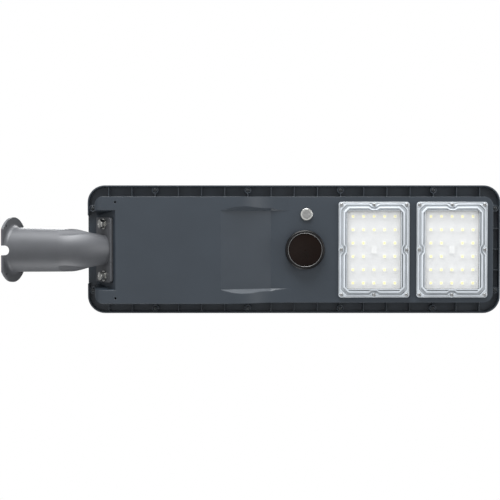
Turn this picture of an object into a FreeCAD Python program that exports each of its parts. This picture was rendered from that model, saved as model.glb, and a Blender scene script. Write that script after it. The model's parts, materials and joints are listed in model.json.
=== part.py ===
"""Solar street lamp with its own battery, panel and arm, as a parametric FreeCAD document.

Millimetres.  The origin is the centre of the arm's wall flange, on the face that meets the wall or pole
cap.  +X runs along the sleeve away from the wall, +Y across the lamp and +Z up.

Three placements carry the pieces:
  * the arm is drawn in the lamp's own frame;
  * what is bolted to the arm's end plate is drawn in the joint frame, whose Z is the plate's normal;
  * the head is drawn flat, with X along it from its arm end, Y across it and Z towards the panel.  Z = 0
    is the underside of the rim.
"""

import FreeCAD
import Part

import math
import os
import re

import Sketcher
from FreeCAD import Placement, Rotation, Vector

doc = FreeCAD.newDocument("solar_street_lamp")
sheet = doc.addObject("Spreadsheet::Sheet", "Sizes")

# ---------------------------------------------------------------------------------------------------
# Driving sizes, in millimetres and degrees.  Each one is written here and nowhere else.
# ---------------------------------------------------------------------------------------------------
SIZES = {
    # fits between neighbours
    "touch_gap": 0.1,            # loose pieces that lie on each other
    "bond_line": 0.02,           # broad faces that are pressed or bonded together
    "screw_gap": 0.3,            # radial room round a screw in a plain hole
    "socket_share": 0.45,        # hexagon socket's size in a screw's head
    "socket_depth_share": 0.6,
    "inner_corner_share": 0.6,   # inner corner of a flat ring to its outer one
    "slide_gap": 0.15,           # radial room of the push button in its barrel
    # arm
    "pole_radius": 30,           # radius of the pole end that the sleeve takes
    "pole_gap": 0.5,             # radial room between the pole end and the bore
    "sleeve_reach": 119.2,        # flange face to the corner of the bend
    "sleeve_wall": 5.5,
    "sleeve_draft": 1.5,         # how much smaller the sleeve's radius is at the bend
    "bore_depth": 90,
    "bend_radius": 60,
    "neck_length": 45,           # corner of the bend to the end plate
    "neck_half_width": 25.5,
    "neck_half_height": 23,
    "neck_rise": 32.7,           # angle of the neck to the head
    "head_tilt": 15,             # angle of the head to the sleeve
    "spanner_radius": 18.5,      # room round each bolt of the end plate
    "flange_band": 16.5,         # flange beyond the sleeve
    "flange_thickness": 4,
    "flange_root": 6,
    "flange_flat_band": 4,       # flange left below the sleeve at its flat
    "flange_hole_radius": 2,
    "flange_hole_inset": 5.1,    # hole centre to the flange's edge
    "flange_hole_angle": 36.2,   # above and below the level line
    "notch_width": 15.5,
    "notch_depth": 12,
    "clamp_radius": 4,           # set screws that grip the pole
    "clamp_length": 12,
    "clamp_first": 28,
    "clamp_pitch": 44,
    "clamp_boss_radius": 8.5,
    "clamp_boss_height": 4,
    "clamp_socket_radius": 2,
    "end_plate_width": 104.4,
    "end_plate_height": 49,
    "end_plate_thickness": 4.5,
    "end_plate_corner": 4,
    "arm_gasket_thickness": 1.5,
    "arm_bolt_spread": 84,
    "arm_bolt_below": 4,         # bolts below the end plate's middle
    "arm_bolt_radius": 4,
    "arm_bolt_head_radius": 7.5,
    "arm_bolt_head_height": 5.3,
    "arm_washer_radius": 8.5,
    "arm_washer_thickness": 1.6,
    "spring_washer_radius": 6.8,
    "spring_washer_thickness": 2,
    "backing_plate_thickness": 3,
    "backing_plate_width": 108,
    "backing_plate_height": 40,
    "arm_nut_height": 6.5,
    "arm_bolt_spare": 3,         # thread past the nut
    # where the arm meets the head: a point on the recess's end wall, in the head's frame
    "seat_along": 32.6,
    "seat_below": 30.4,
    "seat_wall": 5,
    "recess_top_width": 109,
    "recess_mouth_width": 129,
    # head shell
    "head_length": 674,
    "head_width": 209,
    "head_corner": 28,
    "wall": 3,
    "lip_height": 10,
    "lip_wall": 2.5,
    "rim_end": 15,               # rim beyond the pan, at the two ends
    "rim_side": 18.5,            # rim beyond the pan, along the sides
    "pan_corner": 15,
    "pan_depth": 57,
    "shallow_depth": 29,
    "pan_end_round": 14,
    "cavity_start": 58,
    "ramp_start": 218,
    "ramp_length": 81,
    "swell_length": 113,
    "ramp_width": 126,
    "rib_first": 34.3,
    "rib_pitch": 37.87,
    "rib_count": 17,
    "rib_thickness": 1.3,
    "rib_height": 9,
    "end_rib_pitch": 33.7,
    "boss_inset": 8,             # boss axis from the head's outer edge
    "boss_radius": 5.5,
    "boss_first": 110,
    "boss_pitch": 151.5,
    "end_boss_spread": 134,
    "frame_screw_radius": 2,
    "frame_screw_head_radius": 3.7,
    "frame_screw_head_height": 2.4,
    "frame_screw_length": 20,
    "drain_radius": 1.65,
    "drain_along": 49.5,
    "drain_spread": 154,
    "corner_core_depth": 38,
    "core_wall": 3.9,            # wall left round the corner cores
    "core_roundness": 0.476,     # corner radius of a core, as a share of its width
    # panel and its frame
    "frame_height": 15,
    "frame_land": 10.5,          # frame width beside the glass
    "panel_ledge": 7,            # how far the frame reaches under the glass
    "panel_seat": 11,            # ledge above the frame's underside
    "glass_thickness": 3.2,
    "backsheet_thickness": 0.5,
    "cell_thickness": 0.3,
    "cell_columns": 18,
    "cell_rows": 2,
    "cell_gap": 2,
    "cell_margin": 9,
    "glass_gap": 0.4,
    "frame_gasket_width": 3,
    "frame_gasket_thickness": 2,
    "frame_gasket_inset": 13.5,
    "junction_box_length": 46,
    "junction_box_width": 34,
    "junction_box_height": 11,
    "junction_box_along": 335,
    # battery
    "cell_radius": 16.1,
    "cell_length": 70.5,
    "cell_space": 1.4,           # between neighbours in a row
    "cell_back_gap": 1,          # behind the cells' flat ends
    "cell_pole_radius": 4,
    "cell_pole_height": 1.2,
    "holder_thickness": 7,
    "holder_rim": 2.2,
    "nickel_thickness": 0.3,
    "nickel_width": 9,
    "strap_width": 12,
    "strap_thickness": 1.5,
    "strap_spread": 44,
    "strap_post_radius": 4,
    "strap_post_inset": 4.5,
    "strap_screw_radius": 1.5,
    "strap_screw_head_radius": 3,
    "strap_screw_head_height": 2,
    "strap_screw_length": 9,
    "guard_board_length": 70,
    "guard_board_width": 24,
    "board_thickness": 1.6,
    # charge controller
    "controller_length": 100,
    "controller_width": 84,
    "controller_lift": 14,       # board above the shell's floor
    "controller_hole_inset": 5,
    "standoff_radius": 3.5,
    "board_screw_radius": 1.5,
    "board_screw_head_radius": 2.8,
    "board_screw_head_height": 1.8,
    "board_screw_length": 8,
    "capacitor_radius": 6.3,
    "capacitor_height": 20,
    "capacitor_pitch": 15,
    "capacitor_count": 3,
    "capacitor_first": -18,      # across the board, from its middle
    "capacitor_inset": 13.5,
    "coil_radius": 10,
    "coil_height": 12,
    "coil_bore_radius": 3.5,
    "coil_along": -12,           # from the board's middle
    "coil_across": 4,
    "heat_sink_length": 46,
    "heat_sink_width": 20,
    "heat_sink_height": 14,
    "heat_sink_along": 10,       # from the board's middle
    "heat_sink_inset": 3,
    "heat_sink_base": 3.5,
    "fin_count": 6,
    "fin_thickness": 1.4,
    "terminal_length": 60,
    "terminal_width": 11,
    "terminal_height": 10,
    "terminal_count": 6,
    "terminal_inset": 2,
    "terminal_hole_radius": 3.2,
    "terminal_hole_depth": 3.3,
    "chip_length": 9,
    "chip_width": 7,
    "chip_height": 1.4,
    "chip_along": 18,            # first chip from the board's middle
    "chip_across": 2,
    "chip_step_along": 14,
    "chip_step_across": 8,
    # LED modules
    "module_length": 115,
    "module_width": 155,
    "module_corner": 7,
    "window_corner": 5,
    "hollow_corner": 3,
    "module_inner": 465.8,       # centre of the module next to the sensor, along the head
    "module_pitch": 126.2,
    "module_screw_inset": 4.8,   # screw axis from the cover's edge
    "lens_gasket_thickness": 1,
    "lens_gasket_inset": 0.5,
    "lens_flange_height": 3.6,
    "lens_height": 7,
    "lens_window_wall": 2.4,
    "lens_border": 12.5,         # cover's edge to the hollow
    "led_board_corner": 2,
    "led_board_room": 2,         # board's edge to the hollow's wall
    "led_border": 9,             # outermost LEDs to the board's edge
    "led_size": 5,
    "led_height": 0.8,
    "led_plug_length": 12,
    "led_plug_width": 9,
    "led_plug_height": 2.2,
    "lens_screw_radius": 1.5,
    "lens_screw_head_radius": 3,
    "lens_screw_head_height": 2,
    "screw_end_gap": 0.5,        # room past a lens screw's end
    "lens_screw_grip": 7,        # thread inside the shell
    "lens_boss_radius": 4,
    "wire_hole_radius": 3,
    # motion sensor
    "sensor_along": 354,
    "sensor_radius": 32,
    "sensor_height": 12,
    "sensor_edge_round": 3,
    "sensor_disc_radius": 27.2,
    "sensor_disc_height": 4,
    "sensor_disc_crown": 3,
    "sensor_disc_sink": 1,       # disc's rim below the bezel's face
    "sensor_disc_wall": 0.6,
    "sensor_gasket_thickness": 1,
    "sensor_gasket_inset": 2,
    "sensor_stem_radius": 14,
    "sensor_stem_bore": 11,
    "sensor_stem_length": 15,
    "sensor_nut_radius": 21,
    "sensor_nut_height": 5,
    "sensor_board_hole": 1,
    "sensor_board_gap": 0.2,
    "sensor_can_size": 14,
    "sensor_can_height": 1.5,
    # push button
    "switch_along": 356.7,
    "switch_across": -57.2,
    "switch_bezel_radius": 9.8,
    "switch_bezel_height": 2.2,
    "switch_edge_round": 0.8,
    "button_edge_round": 0.5,
    "button_stem_spare": 2,      # stem inside the bore's end wall
    "switch_barrel_radius": 8,
    "switch_length": 20,
    "switch_bore_depth": 14,
    "button_radius": 6.6,
    "button_proud": 1.2,
    "button_length": 6,
    "button_stem_radius": 2,
    "switch_seal_thickness": 1,
    "switch_seal_inset": 0.4,
    "switch_nut_radius": 11,
    "switch_nut_height": 4,
    "spring_wire_radius": 0.35,
    "spring_radius": 4.4,
    "spring_turns": 4,
    "spring_end_gap": 0.05,
    "terminal_pin_width": 2,
    "terminal_pin_length": 7,
    "terminal_pin_spread": 3.6,
}

for row, (name, number) in enumerate(SIZES.items(), start=1):
    sheet.set(f"A{row}", name)
    sheet.set(f"B{row}", str(number))
    sheet.setAlias(f"B{row}", name)
doc.recompute()


# ---------------------------------------------------------------------------------------------------
# Words used by every sub-part
# ---------------------------------------------------------------------------------------------------
def value(expression):
    """The number an expression of sheet names has now."""
    return float(sheet.evalExpression(str(expression)))


def bound(expression):
    """The same expression as another object of the document has to write it."""
    return re.sub(r"[a-z][a-z_]*", lambda word: f"Sizes.{word[0]}" if word[0] in SIZES else word[0],
                  str(expression))


def joined(*terms):
    """Terms added up, each one kept together."""
    return " + ".join(f"({term})" for term in terms)


def minus(first, *others):
    """The first term less all the others."""
    return f"({first})" + "".join(f" - ({term})" for term in others)


def new_body(label):
    body = doc.addObject("PartDesign::Body", label)
    body.Label = label
    return body


def plane_of(body, role):
    return [part for part in body.Origin.OriginFeatures if part.Role == role][0]


def sketch_on(body, role="XY_Plane", along=0, across=0, height=0, turn=None):
    """A sketch on one of the body's own planes, moved by expressions and turned about Y."""
    sketch = body.newObject("Sketcher::SketchObject", f"{body.Name}_sketch")
    sketch.AttachmentSupport = [(plane_of(body, role), "")]
    sketch.MapMode = "FlatFace"
    for axis, expression in (("x", along), ("y", across), ("z", height)):
        if expression != 0:
            sketch.setExpression(f"AttachmentOffset.Base.{axis}", bound(expression))
    if turn is not None:
        sketch.AttachmentOffset = Placement(Vector(0, 0, 0), Rotation(Vector(0, 1, 0), value(turn)))
        sketch.setExpression("AttachmentOffset.Rotation.Angle", bound(turn))
    return sketch


def dimension(sketch, kind, places, expression):
    """One dimension of a sketch, bound to the sheet."""
    number = sketch.addConstraint(Sketcher.Constraint(kind, *places, value(expression)))
    sketch.setExpression(f"Constraints[{number}]", bound(expression))


def circle(sketch, x, y, radius):
    centre = Vector(value(x), value(y), 0)
    ring = sketch.addGeometry(Part.Circle(centre, Vector(0, 0, 1), value(radius)))
    dimension(sketch, "Radius", (ring,), radius)
    dimension(sketch, "DistanceX", (-1, 1, ring, 3), x)
    dimension(sketch, "DistanceY", (-1, 1, ring, 3), y)


def ellipse(sketch, half_x, half_y):
    """An ellipse about the sketch's origin, with its own axes held along the sketch's."""
    upright = value(half_y) >= value(half_x)
    longer, shorter = (half_y, half_x) if upright else (half_x, half_y)
    tip = Vector(0, value(longer), 0) if upright else Vector(value(longer), 0, 0)
    side = Vector(-value(shorter), 0, 0) if upright else Vector(0, value(shorter), 0)
    shape = sketch.addGeometry(Part.Ellipse(tip, side, Vector(0, 0, 0)))
    sketch.exposeInternalGeometry(shape)
    long_axis, short_axis = shape + 1, shape + 2
    sketch.addConstraint(Sketcher.Constraint("Coincident", shape, 3, -1, 1))
    sketch.addConstraint(Sketcher.Constraint("Vertical" if upright else "Horizontal", long_axis))
    dimension(sketch, "Distance", (long_axis,), f"({longer}) * 2")
    dimension(sketch, "Distance", (short_axis,), f"({shorter}) * 2")


def outline(sketch, points):
    """A closed outline.  Each point is (x, y) or (x, y, radius): a third value makes the edge to the
    next point an arc of that radius, which bulges to the right of the way it runs when positive."""
    corners = [Vector(value(point[0]), value(point[1]), 0) for point in points]
    ends = []
    for number, point in enumerate(points):
        start = corners[number]
        finish = corners[(number + 1) % len(points)]
        if len(point) == 2:
            edge = sketch.addGeometry(Part.LineSegment(start, finish))
            ends.append((edge, 1, 2))
            continue
        bulge = value(point[2])
        chord = finish - start
        rise = math.sqrt(max(0, bulge * bulge - chord.Length ** 2 / 4))
        left = Vector(-chord.y, chord.x, 0).normalize()
        side = 1 if bulge > 0 else -1
        centre = (start + finish) * 0.5 + left * (rise * side)
        first, last = (start, finish) if bulge > 0 else (finish, start)
        angles = [math.atan2(end.y - centre.y, end.x - centre.x) for end in (first, last)]
        if angles[1] < angles[0]:
            angles[1] += 2 * math.pi
        ring = Part.Circle(centre, Vector(0, 0, 1), abs(bulge))
        edge = sketch.addGeometry(Part.ArcOfCircle(ring, *angles))
        if rise > 1e-6:
            dimension(sketch, "Radius", (edge,), f"abs({point[2]})")
        else:
            sketch.addConstraint(Sketcher.Constraint("Symmetric", edge, 1, edge, 2, edge, 3))
        ends.append((edge, 1, 2) if bulge > 0 else (edge, 2, 1))
    for number, (edge, start, finish) in enumerate(ends):
        after = ends[(number + 1) % len(ends)]
        sketch.addConstraint(Sketcher.Constraint("Coincident", edge, finish, after[0], after[1]))
        dimension(sketch, "DistanceX", (-1, 1, edge, start), points[number][0])
        dimension(sketch, "DistanceY", (-1, 1, edge, start), points[number][1])


def rectangle(sketch, x, y, length, width):
    """A rectangle about the centre (x, y)."""
    left, right = minus(x, f"({length}) / 2"), joined(x, f"({length}) / 2")
    low, high = minus(y, f"({width}) / 2"), joined(y, f"({width}) / 2")
    outline(sketch, [(left, low), (right, low), (right, high), (left, high)])


def rounded_rectangle(sketch, x, y, length, width, radius):
    """A rectangle with round corners about the centre (x, y)."""
    left, right = minus(x, f"({length}) / 2"), joined(x, f"({length}) / 2")
    low, high = minus(y, f"({width}) / 2"), joined(y, f"({width}) / 2")
    outline(sketch, [
        (joined(left, radius), low), (minus(right, radius), low, radius),
        (right, joined(low, radius)), (right, minus(high, radius), radius),
        (minus(right, radius), high), (joined(left, radius), high, radius),
        (left, minus(high, radius)), (left, joined(low, radius), radius),
    ])


def grow(body, sketch, length, down=False, both=False):
    """A pad of the sketch, up along its normal unless down; both splits it either side."""
    pad = body.newObject("PartDesign::Pad", f"{body.Name}_pad")
    pad.Profile = sketch
    pad.setExpression("Length", bound(length))
    pad.Reversed = down
    pad.Midplane = both
    return pad


def sink(body, sketch, length, up=False, both=False):
    """A pocket of the sketch, down against its normal unless up."""
    before = body.Shape.Volume
    pocket = body.newObject("PartDesign::Pocket", f"{body.Name}_pocket")
    pocket.Profile = sketch
    pocket.setExpression("Length", bound(length))
    pocket.Reversed = up
    pocket.Midplane = both
    doc.recompute()
    if body.Shape.Volume >= before:
        raise RuntimeError(f"{pocket.Name} removes nothing from {body.Label}")
    return pocket


def spin(body, points, role="XZ_Plane", axis="V_Axis"):
    """A revolution of an outline of (radius, height) points about the sketch's own axis."""
    sketch = sketch_on(body, role)
    outline(sketch, points)
    turned = body.newObject("PartDesign::Revolution", f"{body.Name}_revolution")
    turned.Profile = sketch
    turned.ReferenceAxis = (sketch, [axis])
    turned.Angle = 360
    return turned


def hexagon(sketch, x, y, radius):
    """A hexagon about (x, y); radius reaches its corners."""
    outline(sketch, [(f"({x}) + ({radius}) * cos({60 * corner} * 1deg)",
                      f"({y}) + ({radius}) * sin({60 * corner} * 1deg)") for corner in range(6)])


def mirror(body, features, role="XZ_Plane"):
    """The features again on the other side of one of the body's planes."""
    other = body.newObject("PartDesign::Mirrored", f"{body.Name}_mirror")
    other.Originals = features
    other.MirrorPlane = (plane_of(body, role), [""])
    body.Tip = other
    return other


def repeat(body, feature, axis, step, count, second=None):
    """The feature again in even steps along its sketch's axis, and along the other one when asked."""
    row_of = body.newObject("PartDesign::LinearPattern", f"{body.Name}_pattern")
    row_of.Originals = [feature]
    row_of.Direction = (feature.Profile[0], [axis])
    row_of.setExpression("Length", bound(f"({step}) * ({count} - 1)"))
    row_of.setExpression("Occurrences", bound(count))
    if second is not None:
        other_step, other_count = second
        row_of.Direction2 = (feature.Profile[0], ["V_Axis"])
        row_of.setExpression("Length2", bound(f"({other_step}) * ({other_count} - 1)"))
        row_of.setExpression("Occurrences2", bound(other_count))
    body.Tip = row_of
    return row_of


def skin(body, kind, sketches, ruled):
    """An additive or subtractive loft through the sketches."""
    loft = body.newObject(f"PartDesign::{kind}", f"{body.Name}_loft")
    loft.Profile = sketches[0]
    loft.Sections = sketches[1:]
    loft.Ruled = ruled
    return loft


# Places of the three frames, as whole expressions
JOINT_RISE = "(head_tilt + neck_rise)"
JOINT_ALONG = f"(sleeve_reach + neck_length * cos({JOINT_RISE} * 1deg))"
JOINT_UP = f"(neck_length * sin({JOINT_RISE} * 1deg))"
NUT_START = "(arm_gasket_thickness + seat_wall + backing_plate_thickness)"
# the seat point sits one gasket behind the plate's face
SEAT_ALONG = f"({JOINT_ALONG} + arm_gasket_thickness * cos({JOINT_RISE} * 1deg))"
SEAT_UP = f"({JOINT_UP} + arm_gasket_thickness * sin({JOINT_RISE} * 1deg))"
TILT_COS = "cos(head_tilt * 1deg)"
TILT_SIN = "sin(head_tilt * 1deg)"
HEAD_ALONG = f"({SEAT_ALONG} - seat_along * {TILT_COS} - seat_below * {TILT_SIN})"
HEAD_UP = f"({SEAT_UP} - seat_along * {TILT_SIN} + seat_below * {TILT_COS})"
HEAD_PLACE = f"placement(vector({HEAD_ALONG}; 0; {HEAD_UP}); rotation(vector(0; 1; 0); -head_tilt))"
JOINT_TURN = f"(90 - {JOINT_RISE})"
JOINT_PLACE = f"placement(vector({JOINT_ALONG}; 0; {JOINT_UP}); rotation(vector(0; 1; 0); {JOINT_TURN}))"

NODES = []


def keep(piece, place=None):
    """List a finished sub-part, and put it in its frame."""
    if place is not None:
        piece.setExpression("Placement", bound(place))
    NODES.append(piece)
    return piece


# ---------------------------------------------------------------------------------------------------
# Arm
# ---------------------------------------------------------------------------------------------------
SLEEVE_RADIUS = "(pole_radius + pole_gap + sleeve_wall)"
SLEEVE_END_RADIUS = "(pole_radius + pole_gap + sleeve_wall - sleeve_draft)"
FLANGE_RADIUS = f"({SLEEVE_RADIUS} + flange_band)"
HOLE_CIRCLE = f"({FLANGE_RADIUS} - flange_hole_inset)"
BEND_SETBACK = f"(bend_radius * tan({JOINT_RISE} / 2 * 1deg))"


# along the bend: share of its turn, and how far its height and width have closed in on the neck's
BEND_SECTIONS = ((0, 0, 0), (0.33, 0.2, 0.05), (0.66, 0.6, 0.25), (1, 0.9, 0.7))


def make_bracket_arm():
    """One casting: wall flange, sleeve, bend, neck and end plate."""
    body = new_body("bracket_arm")
    straight_end = f"(sleeve_reach - {BEND_SETBACK})"
    root_top = joined(SLEEVE_RADIUS, "flange_root")
    spin(body, [
        (0, 0), (0, FLANGE_RADIUS), ("flange_thickness", FLANGE_RADIUS),
        ("flange_thickness", root_top, "flange_root"),
        (joined("flange_thickness", "flange_root"), SLEEVE_RADIUS),
        (straight_end, SLEEVE_END_RADIUS), (straight_end, 0),
    ], role="XY_Plane", axis="H_Axis")

    # the bend and the neck, as one skin through a circle and four ellipses
    sections = []
    for share, height_share, width_share in BEND_SECTIONS:
        angle = f"({JOINT_RISE} * {share})"
        section = sketch_on(body, along=f"{straight_end} + bend_radius * sin({angle} * 1deg)",
                            height=f"bend_radius * (1 - cos({angle} * 1deg))", turn=f"90 - {angle}")
        if share == 0:
            circle(section, 0, 0, SLEEVE_END_RADIUS)
        else:
            ellipse(section,
                    f"{SLEEVE_END_RADIUS} + (neck_half_height - {SLEEVE_END_RADIUS}) * {height_share}",
                    f"{SLEEVE_END_RADIUS} + (neck_half_width - {SLEEVE_END_RADIUS}) * {width_share}")
        sections.append(section)
    last = sketch_on(body, along=f"{JOINT_ALONG} - cos({JOINT_RISE} * 1deg)",
                     height=f"{JOINT_UP} - sin({JOINT_RISE} * 1deg)", turn=JOINT_TURN)
    ellipse(last, "neck_half_height", "neck_half_width")
    sections.append(last)
    skin(body, "AdditiveLoft", sections, ruled=False)
    doc.recompute()

    # room for a socket spanner round each bolt, scooped out of the bend's sides
    scoops = sketch_on(body, along=JOINT_ALONG, height=JOINT_UP, turn=JOINT_TURN)
    for side in (-1, 1):
        circle(scoops, "arm_bolt_below", f"{side} * arm_bolt_spread / 2", "spanner_radius")
    sink(body, scoops, "neck_length + bend_radius")

    end_plate = sketch_on(body, along=JOINT_ALONG, height=JOINT_UP, turn=JOINT_TURN)
    rounded_rectangle(end_plate, 0, 0, "end_plate_height", "end_plate_width", "end_plate_corner")
    grow(body, end_plate, "end_plate_thickness", down=True)
    bosses = sketch_on(body)
    for number in (0, 1):
        circle(bosses, f"clamp_first + clamp_pitch * {number}", 0, "clamp_boss_radius")
    grow(body, bosses, joined(SLEEVE_RADIUS, "clamp_boss_height"))
    doc.recompute()

    bolt_holes = sketch_on(body, along=JOINT_ALONG, height=JOINT_UP, turn=JOINT_TURN)
    for side in (-1, 1):
        circle(bolt_holes, "arm_bolt_below", f"{side} * arm_bolt_spread / 2", "arm_bolt_radius + screw_gap")
    sink(body, bolt_holes, "end_plate_thickness")
    bore = sketch_on(body, "YZ_Plane")
    circle(bore, 0, 0, "pole_radius + pole_gap")
    sink(body, bore, "bore_depth", up=True)
    flat = sketch_on(body, "YZ_Plane")
    rectangle(flat, 0, f"-({SLEEVE_RADIUS} + flange_flat_band + {FLANGE_RADIUS}) / 2", f"{FLANGE_RADIUS} * 2",
              "flange_band - flange_flat_band")
    sink(body, flat, "flange_thickness + flange_root", up=True)
    wall_holes = sketch_on(body, "YZ_Plane")
    for across in (-1, 1):
        for up in (-1, 1):
            circle(wall_holes, f"{across} * {HOLE_CIRCLE} * cos(flange_hole_angle * 1deg)",
                   f"{up} * {HOLE_CIRCLE} * sin(flange_hole_angle * 1deg)", "flange_hole_radius")
    sink(body, wall_holes, "flange_thickness", up=True)
    notch = sketch_on(body)
    outline(notch, [
        (-1, "-notch_width / 2"), ("notch_depth - notch_width / 2", "-notch_width / 2", "notch_width / 2"),
        ("notch_depth - notch_width / 2", "notch_width / 2"), (-1, "notch_width / 2"),
    ])
    sink(body, notch, FLANGE_RADIUS)
    clamp_holes = sketch_on(body)
    for number in (0, 1):
        circle(clamp_holes, f"clamp_first + clamp_pitch * {number}", 0, "clamp_radius + touch_gap")
    sink(body, clamp_holes, FLANGE_RADIUS, up=True)
    return keep(body)


def make_clamp_screws():
    """Set screws on the sleeve's upper side, backed out level with the bore."""
    body = new_body("clamp_screws")
    for_tips = sketch_on(body, height="pole_radius + pole_gap")
    sockets = sketch_on(body, height="pole_radius + pole_gap + clamp_length")
    for number in (0, 1):
        place = f"clamp_first + clamp_pitch * {number}"
        circle(for_tips, place, 0, "clamp_radius")
        hexagon(sockets, place, 0, "clamp_socket_radius")
    grow(body, for_tips, "clamp_length")
    doc.recompute()
    sink(body, sockets, "clamp_length / 2")
    return keep(body)


# ---------------------------------------------------------------------------------------------------
# Joint between the arm and the head.  Z = 0 is the end plate's outer face.
# ---------------------------------------------------------------------------------------------------
BOLT_SIDES = ("-arm_bolt_spread / 2", "arm_bolt_spread / 2")


def make_joint_plate(label, height, width, thickness, start):
    """A flat plate with the two bolt holes, such as the gasket and the backing plate."""
    body = new_body(label)
    flat = sketch_on(body, height=start)
    rounded_rectangle(flat, 0, 0, height, width, "end_plate_corner")
    for across in BOLT_SIDES:
        circle(flat, "arm_bolt_below", across, "arm_bolt_radius + screw_gap")
    grow(body, flat, thickness)
    return keep(body, JOINT_PLACE)


def make_joint_rings(label, outer, thickness, start, split=False):
    """One ring on each bolt, under its head."""
    body = new_body(label)
    rings = sketch_on(body, height=start)
    for across in BOLT_SIDES:
        circle(rings, "arm_bolt_below", across, outer)
        circle(rings, "arm_bolt_below", across, "arm_bolt_radius + touch_gap")
    grow(body, rings, thickness)
    if split:
        doc.recompute()
        cuts = sketch_on(body, height=start)
        for across in BOLT_SIDES:
            rectangle(cuts, f"arm_bolt_below + ({outer}) / 2", across, outer, "spring_washer_thickness / 2")
        sink(body, cuts, thickness, up=True)
    return keep(body, JOINT_PLACE)


def make_arm_bolts():
    body = new_body("arm_bolts")
    under_head = "(end_plate_thickness + arm_washer_thickness + spring_washer_thickness)"
    heads = sketch_on(body, height=f"-{under_head}")
    shanks = sketch_on(body, height=f"-{under_head}")
    for across in BOLT_SIDES:
        hexagon(heads, "arm_bolt_below", across, "arm_bolt_head_radius")
        circle(shanks, "arm_bolt_below", across, "arm_bolt_radius")
    grow(body, heads, "arm_bolt_head_height", down=True)
    grow(body, shanks, f"{under_head} + {NUT_START} + arm_nut_height + arm_bolt_spare")
    return keep(body, JOINT_PLACE)


def make_arm_nuts():
    body = new_body("arm_nuts")
    nuts = sketch_on(body, height=NUT_START)
    for across in BOLT_SIDES:
        hexagon(nuts, "arm_bolt_below", across, "arm_bolt_head_radius")
        circle(nuts, "arm_bolt_below", across, "arm_bolt_radius + touch_gap / 2")
    grow(body, nuts, "arm_nut_height")
    return keep(body, JOINT_PLACE)


# ---------------------------------------------------------------------------------------------------
# Head shell
# ---------------------------------------------------------------------------------------------------
PAN_LENGTH = "(head_length - 2 * rim_end)"
PAN_WIDTH = "(head_width - 2 * rim_side)"
PAN_END = "(head_length - rim_end)"
PAN_SIDE = "(head_width / 2 - rim_side)"
RAMP_END = "(ramp_start + ramp_length)"
FLOOR = "(-shallow_depth + wall)"            # inside of the shallow floor
DEEP_FLOOR = "(-pan_depth + wall)"
RISE_TAN = "tan(neck_rise * 1deg)"
RISE_COS = "cos(neck_rise * 1deg)"
MODULES = {"inner": "module_inner", "outer": "(module_inner + module_pitch)"}

FRAME_SCREWS = [(f"boss_first + boss_pitch * {number}", f"{side} * (head_width / 2 - boss_inset)")
                for number in range(4) for side in (-1, 1)]
FRAME_SCREWS += [(along, f"{side} * end_boss_spread / 2")
                 for along in ("boss_inset", "(head_length - boss_inset)") for side in (-1, 1)]


def module_screws(centre):
    """Places of one lens cover's screws: four corners and the middle of each side."""
    return [(f"{centre} + {along} * (module_length / 2 - module_screw_inset)",
             f"{across} * (module_width / 2 - module_screw_inset)")
            for along in (-1, 0, 1) for across in (-1, 0, 1) if (along, across) != (0, 0)]


STRAP_POSTS = [(along, f"{side} * strap_spread")
               for along in ("(cavity_start + strap_post_inset)", "(ramp_start - strap_post_inset - wall)")
               for side in (-1, 1)]
CONTROLLER_HOLES = [(f"module_inner + {along} * (controller_length / 2 - controller_hole_inset)",
                     f"{across} * (controller_width / 2 - controller_hole_inset)")
                    for along in (-1, 1) for across in (-1, 1)]
STRAP_LEVEL = f"({DEEP_FLOOR} + 2 * holder_rim + 2 * cell_radius + touch_gap)"
CELL_LEVEL = f"({DEEP_FLOOR} + holder_rim + cell_radius)"


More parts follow.
